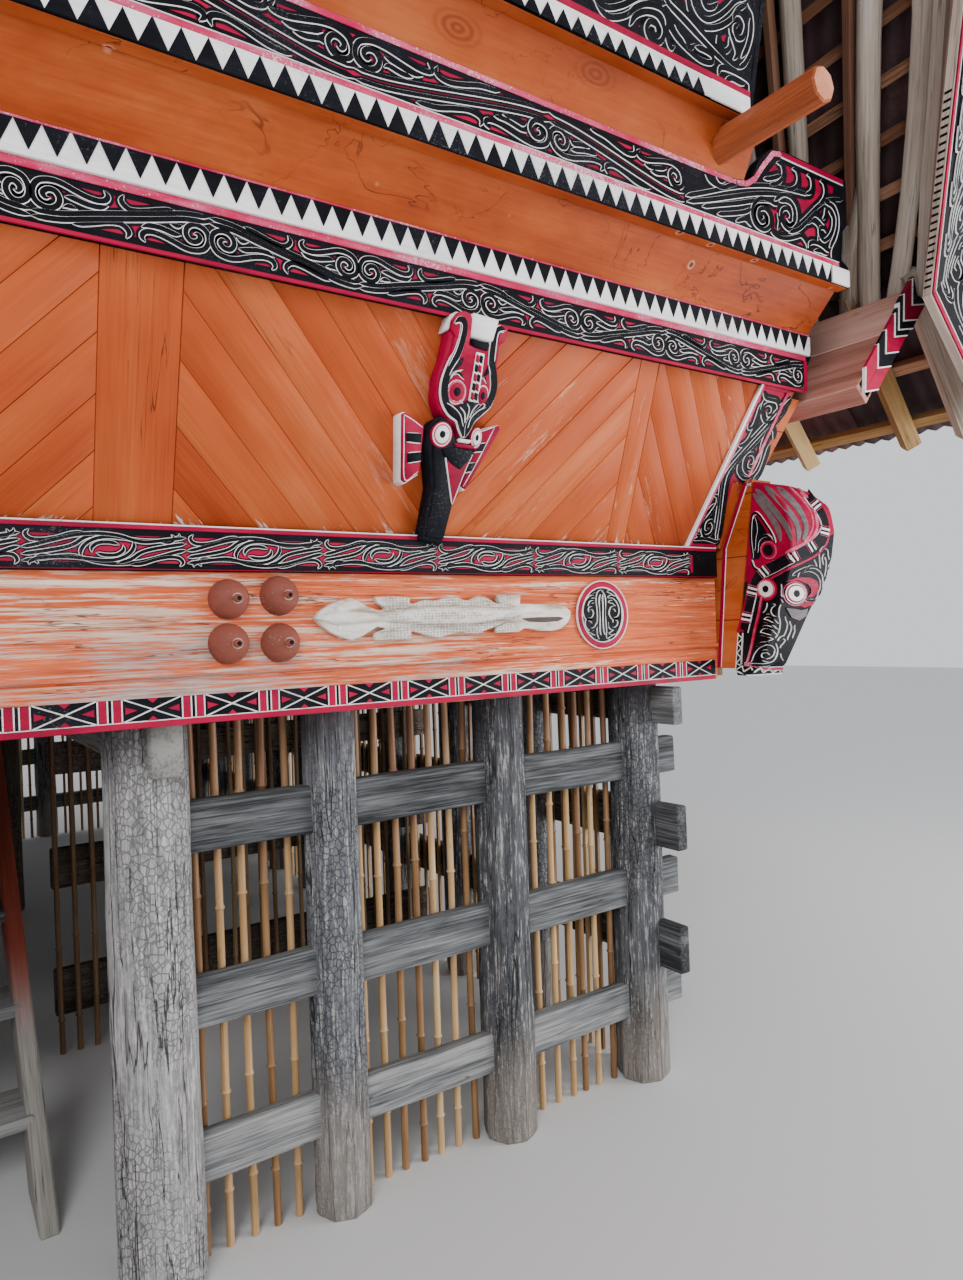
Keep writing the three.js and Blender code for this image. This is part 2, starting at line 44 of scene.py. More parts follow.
FRONT_ROW = -3.2  # the front posts' centre line; lengths along Y below are measured from it
DEPTH = 6.4  # front posts to rear posts
FLOOR = 1.5146  # top of the posts and underside of the floor
UP = Vector((0, 0, 1))
EYE = (0.05, -2.4, 1.72)  # the camera's place, with Y from the front posts

# Camera and light


def set_camera():
    yaw, pitch, roll = radians(34.29), radians(-0.41), radians(-1.97)
    sensor, focal_pixels, photo_height = 36, 850, 1280
    ahead = Vector((sin(yaw) * cos(pitch), cos(yaw) * cos(pitch), sin(pitch)))
    level = Vector((cos(yaw), -sin(yaw), 0))
    above = level.cross(ahead)
    right = cos(roll) * level + sin(roll) * above
    top = -sin(roll) * level + cos(roll) * above
    camera = bpy.data.objects.new("camera", bpy.data.cameras.new("camera"))
    camera.data.sensor_width = sensor
    camera.data.lens = focal_pixels / photo_height * sensor
    place = Matrix((right, top, -ahead)).transposed().to_4x4()
    place.translation = (EYE[0], EYE[1] + FRONT_ROW, EYE[2])
    camera.matrix_world = place
    bpy.context.scene.collection.objects.link(camera)
    bpy.context.scene.camera = camera


def set_light():
    world = bpy.data.worlds.new("studio")
    bpy.context.scene.world = world
    world.use_nodes = True
    sky = world.node_tree.nodes["Background"]
    sky.inputs["Color"].default_value = (0.93, 0.96, 1.0, 1)
    sky.inputs["Strength"].default_value = 0.98
    for name, place, aim, size, power in (
        ("key", (-5.5, -12.5, 8.0), (1.5, -3.4, 1.8), 6.0, 920),
        ("fill", (7.5, -8.5, 3.0), (2.0, -3.0, 2.0), 5.0, 220),
        ("bounce", (6.2, -6.4, 0.8), (3.3, -3.7, 3.4), 3.0, 260),
    ):
        lamp = bpy.data.lights.new(name, "AREA")
        lamp.shape = "DISK"
        lamp.size = size
        lamp.energy = power
        holder = bpy.data.objects.new(name, lamp)
        turn = (Vector(aim) - Vector(place)).to_track_quat("-Z", "Y")
        holder.matrix_world = Matrix.Translation(place) @ turn.to_matrix().to_4x4()
        bpy.context.scene.collection.objects.link(holder)


set_camera()
set_light()

# Shader maths


class Value:
    """A socket in a sum: each operation adds a Math node."""

    def __init__(self, finish, socket):
        self.finish, self.socket = finish, socket

    def maths(self, operation, *values):
        made = self.finish.node("ShaderNodeMath", {"operation": operation}, dict(enumerate(values)))
        return Value(self.finish, made.outputs[0])

    def __add__(self, other):
        return self.maths("ADD", self, other)

    def __sub__(self, other):
        return self.maths("SUBTRACT", self, other)

    def __rsub__(self, other):
        return self.maths("SUBTRACT", other, self)

    def __mul__(self, other):
        return self.maths("MULTIPLY", self, other)

    __radd__ = __add__
    __rmul__ = __mul__

    def __abs__(self):
        return self.maths("ABSOLUTE", self)

    def wave(self):
        return self.maths("SINE", self)

    def between(self, low, high):
        """0 below low, 1 above high and a smooth step between; falls if low is above high."""
        falls = low > high
        settings = {"interpolation_type": "SMOOTHSTEP"}
        ends = {"Value": self, "From Min": min(low, high), "From Max": max(low, high)}
        ends.update({"To Min": 1.0 if falls else 0.0, "To Max": 0.0 if falls else 1.0})
        return Value(self.finish, self.finish.node("ShaderNodeMapRange", settings, ends).outputs[0])


def paint(red, green, blue):
    """A paint chip's 0 to 255 values as a linear colour."""
    channels = (c / 255 for c in (red, green, blue))
    return (*(c / 12.92 if c <= 0.04045 else ((c + 0.055) / 1.055) ** 2.4 for c in channels), 1)


def spread(colours, low, wide):
    """Paints at even steps along a ramp."""
    return [(low + wide * i / (len(colours) - 1), *colour) for i, colour in enumerate(colours)]


class Finish:
    """A material with its node recipe. Its patterns are drawn out along grain; colour is what shows so far."""

    def __init__(self, name, **uniform):
        self.material = bpy.data.materials.new(name)
        self.material.use_nodes = True
        self.tree = self.material.node_tree
        self.shader = self.tree.nodes["Principled BSDF"]
        self.grain = self.colour = None
        for socket, value in uniform.items():
            self.shader.inputs[socket.replace("_", " ")].default_value = value

    def node(self, kind, settings, inputs):
        made = self.tree.nodes.new(kind)
        for name, value in settings.items():
            if name == "stops":
                ramp = made.color_ramp
                while len(ramp.elements) < len(value):
                    ramp.elements.new(0.5)
                for element, (position, colour) in zip(ramp.elements, value):
                    element.position = position
                    element.color = colour
            else:
                setattr(made, name, value)
        for name, value in inputs.items():
            self.feed(made.inputs[name], value)
        return made

    def feed(self, socket, value):
        if isinstance(value, Value):
            self.tree.links.new(value.socket, socket)
        else:
            socket.default_value = value

    def surface(self, **values):
        for name, value in values.items():
            self.feed(self.shader.inputs[name.replace("_", " ")], value)

    def attribute(self, name, output="Vector"):
        made = self.node("ShaderNodeAttribute", {"attribute_name": name}, {})
        return Value(self, made.outputs[output])

    def tone(self):
        """The board's own tone, from 0 to 1."""
        return self.attribute("tone", "Fac")

    def place(self):
        return Value(self, self.node("ShaderNodeTexCoord", {}, {}).outputs["Object"])

    def axis(self, name):
        made = self.node("ShaderNodeSeparateXYZ", {}, {0: self.place()})
        return Value(self, made.outputs[name])

    def stretched(self, vector, scale, turn=(0, 0, 0), move=(0, 0, 0)):
        inputs = {"Vector": vector, "Location": move, "Rotation": turn, "Scale": scale}
        return Value(self, self.node("ShaderNodeMapping", {}, inputs).outputs[0])

    def clouds(self, vector, scale, detail=3.0, roughness=0.55, distortion=0.0):
        inputs = {"Vector": vector, "Scale": scale, "Detail": detail}
        inputs.update({"Roughness": roughness, "Distortion": distortion})
        return Value(self, self.node("ShaderNodeTexNoise", {}, inputs).outputs[0])

    def threads(self, along, across, detail=3.0, roughness=0.55, distortion=0.0, move=(0, 0, 0)):
        """Clouds drawn out along the grain, from how often they change along it and across it."""
        drawn = self.stretched(self.grain, (along, across, across), move=move)
        return self.clouds(drawn, 1.0, detail, roughness, distortion)

    def cells(self, vector, scale, feature="F1", randomness=1.0):
        inputs = {"Vector": vector, "Scale": scale, "Randomness": randomness}
        made = self.node("ShaderNodeTexVoronoi", {"feature": feature}, inputs)
        return Value(self, made.outputs["Distance"])

    def ramp(self, value, *stops):
        """Each stop is its place along the value and its paint's red, green and blue."""
        stops = [(position, paint(*chip)) for position, *chip in stops]
        made = self.node("ShaderNodeValToRGB", {"stops": stops}, {0: value})
        return Value(self, made.outputs[0])

    def mix(self, amount, low, high):
        inputs = {0: amount, 6: low, 7: high}
        made = self.node("ShaderNodeMix", {"data_type": "RGBA", "blend_type": "MIX"}, inputs)
        return Value(self, made.outputs[2])

    def coat(self, amount, colour):
        """Lays a paint, or another socket's colour, over the colour so far."""
        over = colour if isinstance(colour, Value) else paint(*colour)
        self.colour = self.mix(amount, self.colour, over)

    def done(self, roughness, height, strength, distance):
        inputs = {"Height": height, "Strength": strength, "Distance": distance}
        bump = Value(self, self.node("ShaderNodeBump", {}, inputs).outputs[0])
        self.surface(Base_Color=self.colour, Roughness=roughness, Normal=bump)
        return self.material


# Timber: every shape carries its grain as an attribute, with the fibres along X


def timber(name, colours, roughness=0.7, fibre=1.0, cracks=0.3, crack_colour=(28, 20, 16), knots=0.0, gloss=0.3,
           scuffs=0.0, scuff_colour=(225, 205, 190), relief=0.5, calm=0.0, smeared=False, trodden=()):
    """Wood, or paint on wood. colours run from its dark streaks to its light ones.

    smeared adds white brushing along the foot of the wall, and trodden the bare wood low on a stair.
    """
    finish = Finish(name, Specular_IOR_Level=gloss)
    finish.grain = finish.attribute("grain")
    fibres = finish.threads(5, 150, 5.0, 0.6)
    streaks = finish.threads(0.7, 11, 4.0, 0.55, 0.6)
    blots = finish.threads(1.6, 4)
    mixed = streaks * (0.6 - 0.38 * calm) + blots * (0.4 + 0.38 * calm) + (fibres - 0.5) * (0.55 * fibre)
    mixed = mixed + (finish.tone() - 0.5) * (0.35 - 0.25 * calm)
    finish.colour = finish.ramp(mixed, *spread(colours, 0.30, 0.4))
    height = fibres * (0.3 * fibre)
    rough = fibres * 0.2 + (roughness - 0.1)
    if scuffs:
        rubbed = finish.threads(9, 60, 6.0, 0.75)
        patches = finish.threads(1.3, 5)
        amount = (rubbed + patches * 0.9).between(1.16 - scuffs * 0.2, 1.30 - scuffs * 0.16)
        if smeared:
            amount = amount * abs(finish.axis("X")).between(0.7, 2.0)
        finish.coat(amount * 0.75, scuff_colour)
        rough = rough + amount * 0.15
    if smeared:
        near = finish.axis("Z").between(2.10, 1.99)
        spilt = (rubbed + near * 0.42 + (patches - 0.5) * 0.5).between(0.86, 0.96) * near.between(0.0, 0.15)
        finish.coat(spilt * 0.85, (232, 220, 214))
    if trodden:
        amount = (finish.axis("Z") + (streaks - 0.5) * 0.4).between(0.75, 0.45)
        finish.coat(amount, finish.ramp(streaks * 0.5 + fibres * 0.5, *spread(trodden, 0.3, 0.4)))
        height = height - amount * 0.12
        rough = rough + amount * 0.25
    lines = abs(finish.threads(1.1, 34, 3.0, 0.5, 0.4) - 0.5).between(0.012, 0.004)
    split = lines * finish.threads(1.5, 6, 2.0).between(0.62 - cracks * 0.35, 0.7)
    finish.coat(split * 0.8, crack_colour)
    height = height - split * 0.8
    if knots:
        eyes = finish.cells(finish.stretched(finish.grain, (1.1, 4.2, 4.2)), 1.0).between(0.085, 0.05)
        finish.coat(eyes * knots, crack_colour)
    return finish.done(rough, height, relief, 0.004)


def stained_board(name, turn=(0, 0, 0), plank=0.0):
    """Orange stain on smooth boards: soft blotches, knots, dark veins, nail holes, seams between planks, and painted
    shade towards the top.
    """
    finish = Finish(name, Specular_IOR_Level=0.12)
    finish.grain = finish.stretched(finish.place(), (1, 1, 1), turn)
    blots = finish.threads(1.5, 3.6, 6.0, 0.62)
    fibres = finish.threads(4, 110, 4.0, 0.6)
    finish.colour = finish.ramp(blots * 0.82 + fibres * 0.18, (0.34, 138, 54, 20), (0.46, 166, 72, 28),
                                (0.54, 180, 85, 37), (0.66, 196, 106, 57))
    veins = abs(finish.threads(2.4, 3.4, 4.0, 0.6, 1.4) - 0.5).between(0.009, 0.001)
    veins = veins * finish.threads(1.7, 3, 2.0, move=(4, 2, 0)).between(0.46, 0.60)
    finish.coat(veins * 0.9, (90, 36, 18))
    knots = finish.cells(finish.stretched(finish.grain, (1.9, 3.8, 3.8)), 1.0)
    rings = (knots * 120.0 + blots * 8.0).wave() * 0.35 + 0.4
    finish.coat(knots.between(0.19, 0.06) * rings, (104, 42, 16))
    nails = finish.cells(finish.grain, 7.0)
    finish.coat(nails.between(0.12, 0.08) * 0.7, (228, 152, 122))
    holes = nails.between(0.075, 0.05)
    finish.coat(holes * 0.9, (74, 32, 18))
    up = finish.axis("Z")
    # painted shade: the boards darken towards the top, where the roof overhang shades them
    finish.coat(up.between(2.9, 3.3) * 0.4, (122, 52, 22))
    height = fibres * 0.3 - veins * 0.5 - holes
    if plank:
        seams = (up * (tau / plank)).wave().between(0.9975, 0.9997)
        finish.coat(seams * 0.85, (58, 24, 14))
        height = height - seams
    return finish.done(blots * 0.2 + 0.4, height, 0.35, 0.003)


def painted(name, colour, faded, chips, chip_colour=(150, 120, 100), roughness=0.55, gloss=0.35):
    """Brushed paint on carving, a little faded and chipped."""
    finish = Finish(name, Specular_IOR_Level=gloss)
    finish.grain = finish.place()
    brush = finish.threads(10, 44, 4.0, 0.65)
    fade = finish.clouds(finish.grain, 4.5)
    finish.colour = finish.mix((brush * 0.55 + fade * 0.75).between(0.5, 0.85), paint(*colour), paint(*faded))
    bare = finish.clouds(finish.grain, 170.0, 3.0, 0.7) + fade * 0.5
    chipped = bare.between(0.93 - chips * 0.2, 0.97 - chips * 0.2)
    finish.coat(chipped * 0.8, chip_colour)
    return finish.done(brush * 0.25 + (roughness - 0.12), brush * 0.5 - chipped * 0.6, 0.35, 0.002)


def beam_wood():
    """Salmon paint in long threads, gone to pale and grey wood where the beam's left end weathers most."""
    finish = Finish("worn beam paint", Specular_IOR_Level=0.15)
    finish.grain = finish.attribute("grain")
    left = finish.axis("X").between(2.3, 0.1)
    worn_low = finish.axis("Z").between(1.84, 1.70) * left
    fibres = finish.threads(6, 170, 5.0, 0.7)
    threads = finish.threads(1.6, 44, 5.0, 0.7, 0.3)
    patches = finish.threads(1.1, 5, 6.0, 0.7, 0.4)
    shade = threads * 0.5 + fibres * 0.5
    finish.colour = finish.ramp(shade, (0.36, 172, 72, 40), (0.5, 214, 104, 62), (0.62, 230, 134, 94))
    bare = (patches + (threads - 0.5) * 1.1 + (fibres - 0.5) * 0.9 + left * 0.16).between(0.57, 0.72)
    finish.coat(bare * 0.9, finish.ramp(shade, (0.36, 150, 106, 86), (0.5, 204, 166, 144), (0.62, 234, 214, 198)))
    aged = finish.threads(0.9, 4.4, 4.0, 0.6, move=(3.1, 0.4, 0.7))
    aged = (aged + (fibres - 0.5) * 0.5 + worn_low * 0.30).between(0.68, 0.80)
    finish.coat(aged * 0.85, finish.ramp(fibres, (0.36, 112, 96, 92), (0.58, 178, 162, 156)))
    splits = abs(finish.threads(3.2, 60, 3.0, 0.5) - 0.5).between(0.014, 0.004)
    splits = splits * finish.threads(2.5, 12, 2.0).between(0.5, 0.62)
    finish.coat(splits * 0.85, (74, 46, 38))
    spots = finish.cells(finish.stretched(finish.grain, (3.4, 9, 9)), 1.0).between(0.07, 0.04)
    finish.coat(spots * 0.8, (70, 34, 26))
    return finish.done(fibres * 0.2 + 0.6, fibres * 0.35 + threads * 0.25 - bare * 0.1 - splits * 0.6, 0.8, 0.004)


def log_wood(name, colours, dark, darkness, pale, paleness, foot=()):
    """Weathered log: a net of fine checks over the fibres, dark stains, and long splits."""
    finish = Finish(name, Specular_IOR_Level=0.2)
    finish.grain = finish.attribute("grain")
    fibres = finish.threads(7, 130, 5.0, 0.7)
    flakes = finish.threads(22, 70, 4.0, 0.7)
    streaks = finish.threads(0.9, 9, 5.0, 0.65, 0.5)
    finish.colour = finish.ramp(streaks * 0.35 + fibres * 0.4 + flakes * 0.25 + (finish.tone() - 0.5) * 0.2,
                                *spread(colours, 0.34, 0.32))
    stains = streaks + (flakes - 0.5) * 0.7 + (fibres - 0.5) * 0.5
    finish.coat(stains.between(0.60 - darkness * 0.2, 0.68 - darkness * 0.1) * 0.8, dark)
    finish.coat((fibres * 0.6 + flakes * 0.4).between(0.515, 0.60) * paleness, pale)
    net = finish.cells(finish.stretched(finish.grain, (46, 62, 62)), 1.0, "DISTANCE_TO_EDGE")
    checks = net.between(0.12, 0.02) * finish.threads(2.2, 5).between(0.38, 0.58) * 0.6
    splits = abs(finish.threads(1.1, 24, 3.0, 0.5, 0.5) - 0.5).between(0.011, 0.004)
    finish.coat(checks, dark)
    finish.coat(splits * 0.8, (22, 21, 22))
    up = finish.axis("Z")
    finish.coat((up + (streaks - 0.5) * 0.6).between(1.28, 1.56) * 0.7, (52, 54, 60))
    if foot:
        finish.coat((up + (streaks - 0.5) * 0.5).between(0.5, 0.1) * 0.5, foot)
    return finish.done(fibres * 0.2 + 0.75, fibres * 0.4 + flakes * 0.2 - checks * 0.6 - splits, 0.9, 0.005)


def bamboo_wood(name, shaded):
    """Split-dry bamboo, browner towards its top; shaded paints shade onto the canes under the house."""
    finish = Finish(name, Specular_IOR_Level=0.4)
    finish.grain = finish.attribute("grain")
    streaks = finish.threads(3, 120, 4.0, 0.6)
    stains = finish.threads(5, 10, 4.0, 0.6)
    finish.colour = finish.ramp(streaks * 0.4 + stains * 0.35 + finish.tone() * 0.5 - 0.1, (0.3, 124, 92, 58),
                                (0.5, 172, 136, 92), (0.66, 202, 166, 116), (0.8, 218, 188, 142))
    finish.coat(finish.threads(14, 60, 4.0).between(0.62, 0.72) * 0.5, (96, 80, 62))
    finish.coat(0.25, (112, 66, 36))
    # the canes turn darker brown towards their top
    browned_top = finish.axis("Z").between(0.7, 1.5) * 0.5 + (stains - 0.5) * 0.8
    finish.coat(browned_top.between(0.1, 0.6) * 0.75, (98, 58, 36))
    # painted shade: shaded darkens the canes that stand under the house
    finish.coat(shaded, (52, 34, 24))
    return finish.done(stains * 0.25 + 0.35, streaks, 0.25, 0.002)


def roof_metal():
    finish = Finish("rusted roof sheet")
    finish.grain = finish.place()
    patches = finish.clouds(finish.grain, 0.9, 5.0, 0.65)
    runs = finish.clouds(finish.stretched(finish.grain, (9, 9, 0.9)), 1.0, 4.0, 0.6)
    specks = finish.clouds(finish.grain, 46.0, 3.0, 0.7)
    rust = patches * 0.45 + runs * 0.42 + (specks - 0.5) * 0.3 + (finish.tone() - 0.5) * 0.1
    finish.colour = finish.ramp(rust, (0.28, 60, 38, 36), (0.42, 92, 56, 46), (0.55, 124, 76, 56), (0.7, 150, 104, 78))
    finish.surface(Metallic=rust.between(0.5, 0.3) * 0.5)
    return finish.done(specks * 0.3 + 0.5, specks * 0.4 + runs * 0.3, 0.35, 0.003)


def roof_underside():
    finish = Finish("dark sheet underside")
    spot = finish.place()
    patches = finish.clouds(spot, 2.1, 5.0, 0.65)
    specks = finish.clouds(spot, 60.0, 3.0, 0.7)
    soot = patches * 0.6 + (specks - 0.5) * 0.3 + (finish.tone() - 0.5) * 0.35 + 0.1
    finish.colour = finish.ramp(soot, (0.25, 38, 24, 30), (0.45, 66, 42, 46), (0.6, 98, 64, 60), (0.75, 124, 88, 78))
    return finish.done(specks * 0.3 + 0.5, specks, 0.3, 0.002)


def scaled_wood():
    """Pale weathered wood with rows of nicks along the lizard's back."""
    finish = Finish("pale carved lizard wood", Specular_IOR_Level=0.2)
    finish.grain = finish.place()
    wear = finish.threads(6, 30, 5.0, 0.7)
    finish.colour = finish.ramp(wear, (0.36, 168, 150, 132), (0.46, 212, 202, 190), (0.60, 238, 233, 226))
    across = abs(finish.axis("X"))
    body = across.between(1.18, 1.23) * across.between(1.70, 1.62)
    nicks = finish.cells(finish.stretched(finish.grain, (88, 30, 125)), 1.0, "F1", 0.25).between(0.50, 0.38) * body
    finish.coat(nicks * 0.42, (96, 84, 76))
    finish.coat(finish.clouds(finish.grain, 14.0, 5.0, 0.7).between(0.56, 0.68) * 0.4, (128, 108, 92))
    return finish.done(wear * 0.2 + 0.65, wear * 0.4 - nicks * 0.8, 0.7, 0.003)


board_paint = timber("orange board stain", ((152, 60, 26), (174, 76, 35), (187, 88, 44), (200, 107, 61)), 0.5, 0.5,
                     0.15, (95, 40, 20), 0.5, 0.12, 0.45, (222, 170, 146), 0.3, calm=0.75, smeared=True)
step_paint = timber("orange log stain", ((112, 52, 30), (150, 76, 42), (172, 94, 56), (192, 122, 86)), 0.5, 0.9, 0.45,
                    (90, 42, 20), 0.5, 0.15, 0.15, relief=0.35, calm=0.5)
beam_paint = beam_wood()
brown_varnish = timber("brown varnish", ((136, 86, 74), (170, 114, 100), (192, 138, 124), (206, 160, 146)), 0.5, 0.8,
                       0.4, gloss=0.4, relief=0.4)
fence_wood = timber("grey rail wood", ((44, 45, 47), (82, 84, 86), (112, 114, 115), (146, 145, 143)), 0.85, 1.35, 0.8,
                    (18, 17, 16), gloss=0.2, relief=0.9)
floor_wood = timber("trodden floor wood", ((74, 56, 42), (104, 80, 60), (128, 102, 78)), 0.8, 1.0, 0.5, gloss=0.2)
bare_pole = timber("bleached pole", ((130, 116, 102), (172, 158, 144), (200, 188, 174), (222, 212, 200)), 0.85, 0.9,
                   0.6, (52, 42, 34), 0.35, 0.2, relief=0.7)
brown_pole = timber("brown squared rafter", ((98, 66, 50), (134, 94, 74), (160, 120, 98)), 0.8, 1.0, 0.6, (30, 20, 16),
                    gloss=0.25, relief=0.6)
batten_wood = timber("sawn batten", ((112, 74, 52), (146, 102, 76), (172, 130, 102), (192, 156, 128)), 0.75, 1.1, 0.3,
                     gloss=0.25, relief=0.6)
sawn_wood = timber("fresh sawn wood", ((150, 116, 70), (186, 152, 100), (206, 176, 124)), 0.75, 1.0, 0.3, gloss=0.25)
pale_end = timber("grey joist end", ((58, 57, 56), (98, 96, 94), (140, 138, 134)), 0.85, 1.2, 0.6, gloss=0.2)
grey_weathered = timber("grey weathered board", ((84, 74, 68), (118, 106, 98), (156, 146, 136)), 0.85, 1.2, 0.7)
purlin_end = timber("bleached purlin end", ((176, 96, 64), (198, 124, 92), (212, 146, 118)), 0.65, 0.6, 0.4)
stair_paint = timber("worn red stair paint", ((120, 52, 40), (142, 66, 50), (160, 84, 66)), 0.7, 0.9, 0.5, gloss=0.25,
                     trodden=((96, 92, 88), (132, 128, 122), (160, 156, 150)))
step_board = stained_board("stained step board")
side_board = stained_board("stained side planks", (0, 0, radians(90)), 0.24)
plank_board = stained_board("stained planks", plank=0.26)

black = painted("black carving paint", (8, 9, 14), (22, 24, 32), 0.1, (84, 82, 84), 0.6, 0.1)
white = painted("white line paint", (250, 249, 248), (226, 223, 222), 0.12, (160, 150, 150), 0.6)
crimson = painted("crimson paint", (168, 4, 58), (134, 8, 48), 0.2, (110, 40, 40), 0.55, 0.12)
rose = painted("faded rose paint", (186, 22, 74), (214, 104, 136), 0.35, (236, 200, 206), 0.55, 0.15)
grey_stripe = painted("grey stripe paint", (112, 104, 106), (84, 76, 80), 0.3, (60, 50, 52), 0.6, 0.2)
clay = painted("clay brown paint", (136, 74, 60), (120, 64, 52), 0.12, (186, 150, 136), 0.6, 0.2)
chipped_clay = painted("chipped clay rim", (190, 170, 156), (168, 140, 124), 0.3)
# painted shadow: the dark sheet laid in the lizard carving's hollow
shadow_wood = painted("dark hollow", (70, 52, 42), (50, 38, 32), 0.1)

grey_log = log_wood("checked grey log", ((118, 116, 116), (166, 164, 163), (198, 196, 194), (222, 220, 218)),
                    (74, 74, 78), 0.05, (214, 211, 206), 0.35)
dark_log = log_wood("charcoal log", ((56, 57, 61), (90, 92, 96), (124, 126, 131), (158, 160, 163)), (34, 35, 39), 0.45,
                    (172, 170, 168), 0.75, (150, 140, 128))
# painted shade: darker copies of the log and bamboo finishes, for the posts, rails and canes under the house
painted_shade_log = log_wood("shaded log", ((58, 50, 45), (84, 74, 66), (112, 100, 90)), (36, 31, 28), 0.2, (140, 130, 118), 0.3)
bamboo, painted_shade_bamboo = bamboo_wood("bamboo", 0.0), bamboo_wood("shaded bamboo", 0.6)
roof_sheet, roof_under, lizard_wood = roof_metal(), roof_underside(), scaled_wood()

# Shapes

draw = random.Random(7)


def started():
    bm = bmesh.new()
    bm.verts.layers.float_vector.new("grain")
    bm.verts.layers.float.new("tone")
    return bm


def points_in(geometry):
    return [v for v in geometry if isinstance(v, bmesh.types.BMVert)]


def sliced(bm, spot, away, clear=False):
    """Cuts a shape by a plane; clear throws the far side away."""
    every = bm.verts[:] + bm.edges[:] + bm.faces[:]
    bmesh.ops.bisect_plane(bm, geom=every, plane_co=spot, plane_no=away, clear_outer=clear)


def closed(bm):
    """Fills the open ends of a shape."""
    bmesh.ops.holes_fill(bm, edges=[e for e in bm.edges if e.is_boundary], sides=0)


def facing(bm, outward):
    """Turns an open sheet's faces outwards."""
    bm.normal_update()
    if sum((face.normal for face in bm.faces), Vector()).dot(outward) < 0:
        bmesh.ops.reverse_faces(bm, faces=bm.faces)


class Work:
    """A piece in the making. Each shape that is added brings its grain, tone and finish."""

    def __init__(self):
        self.bm = started()

    def add(self, shape, finish=0, along=None, tone=None):
        """along lays the fibres that way, or else they stay as drawn; finish None keeps the faces' own."""
        grain = shape.verts.layers.float_vector["grain"]
        tones = shape.verts.layers.float["tone"]
        shift = Vector([draw.uniform(0, 40) for _ in range(3)])
        shade = draw.random() if tone is None else tone
        if along is not None:
            ahead = Vector(along).normalized()
            side = ahead.cross(UP if abs(ahead.z) < 0.9 else Vector((1, 0, 0))).normalized()
            over = ahead.cross(side)
        for vert in shape.verts:
            at = vert.co
            spot = Vector((at.dot(ahead), at.dot(side), at.dot(over))) if along is not None else vert[grain]
            vert[grain] = spot + shift
            vert[tones] = shade
        if finish is not None:
            for face in shape.faces:
                face.material_index = finish
        poured = bpy.data.meshes.new("poured")
        shape.to_mesh(poured)
        shape.free()
        self.bm.from_mesh(poured)
        bpy.data.meshes.remove(poured)


def hung(name, work, finishes, stands_for, smooth, side=""):
    mesh = bpy.data.meshes.new(name + side)
    work.bm.to_mesh(mesh)
    for finish in finishes:
        mesh.materials.append(finish)
    if smooth:
        mesh.shade_smooth()
        mesh.set_sharp_from_angle(angle=radians(smooth))
    made = bpy.data.objects.new(name + side, mesh)
    bpy.context.scene.collection.objects.link(made)
    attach(made, "root")
    if stands_for:
        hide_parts(*(node + side for node in stands_for))


def piece(name, work, finishes, stands_for=(), smooth=40):
    """Puts a finished piece in the house."""
    bmesh.ops.translate(work.bm, verts=work.bm.verts, vec=(0, FRONT_ROW, 0))
    hung(name, work, finishes, stands_for, smooth)
    work.bm.free()


def pair(name, work, finishes, stands_for=(), smooth=40):
    """Puts a piece in the right half of the house and its mirror image in the left half."""
    bmesh.ops.translate(work.bm, verts=work.bm.verts, vec=(0, FRONT_ROW, 0))
    hung(name, work, finishes, stands_for, smooth, "_right")
    bmesh.ops.scale(work.bm, verts=work.bm.verts, vec=(-1, 1, 1))
    bmesh.ops.reverse_faces(work.bm, faces=work.bm.faces)
    hung(name, work, finishes, stands_for, smooth, "_left")
    work.bm.free()


def doubled(work):
    """Adds the mirror image, so that one piece spans the house."""
    bm = work.bm
    twin = bmesh.ops.duplicate(bm, geom=bm.verts[:] + bm.edges[:] + bm.faces[:])["geom"]
    bmesh.ops.scale(bm, verts=points_in(twin), vec=(-1, 1, 1))
    bmesh.ops.reverse_faces(bm, faces=[f for f in twin if isinstance(f, bmesh.types.BMFace)])
    return work


def eased(bm, edge, segments):
    if edge:
        bmesh.ops.bevel(bm, geom=bm.edges[:], offset=edge, segments=segments, affect="EDGES", profile=0.5,
                        material=-1, clamp_overlap=True)
    return bm


def slab(corners, push, edge=0.003, segments=1):
    """A board: its outline's corners, drawn out along push, with eased edges."""
    bm = started()
    face = bm.faces.new([bm.verts.new(corner) for corner in corners])
    bm.normal_update()
    drawn = bmesh.ops.extrude_face_region(bm, geom=[face])["geom"]
    bmesh.ops.translate(bm, verts=points_in(drawn), vec=push)
    bmesh.ops.recalc_face_normals(bm, faces=bm.faces)
    return eased(bm, edge, segments)


def block(x, y, z, edge=0.004, cuts=0, wobble=0.0, segments=1):
    """A squared timber between two corners; cuts and wobble give it a hand-hewn face."""
    bm = started()
    middle = Vector([(low + high) / 2 for low, high in (x, y, z)])
    size = Vector([high - low for low, high in (x, y, z)])
    bmesh.ops.create_cube(bm, size=1.0, matrix=Matrix.Translation(middle) @ Matrix.Diagonal((*size, 1)))
    eased(bm, edge, segments)
    if cuts:
        along = max(range(3), key=lambda axis: size[axis])
        across = Vector([1 if axis == along else 0 for axis in range(3)])
        for cut in range(1, cuts):
            sliced(bm, middle + across * size[along] * (cut / cuts - 0.5), across)
        hewn(bm, wobble, draw.uniform(0, 60), 3.0)
    return bm


def hewn(bm, wobble, seed, pitch):
    for vert in bm.verts:
        vert.co += noise.noise_vector(vert.co * pitch + Vector((seed, 0, 0))) * wobble


def along_path(path):
    """At each point of a path: the point, two directions across it and the length so far."""
    path = [Vector(p) for p in path]
    length, stops, side = 0.0, [], None
    for i, point in enumerate(path):
        ahead = (path[min(i + 1, len(path) - 1)] - path[max(i - 1, 0)]).normalized()
        if side is None:
            side = ahead.cross(UP if abs(ahead.z) < 0.9 else Vector((0, 1, 0))).normalized()
        side = (side - ahead * side.dot(ahead)).normalized()
        if i:
            length += (point - path[i - 1]).length
        stops.append((point, side, ahead.cross(side), length))
    return stops


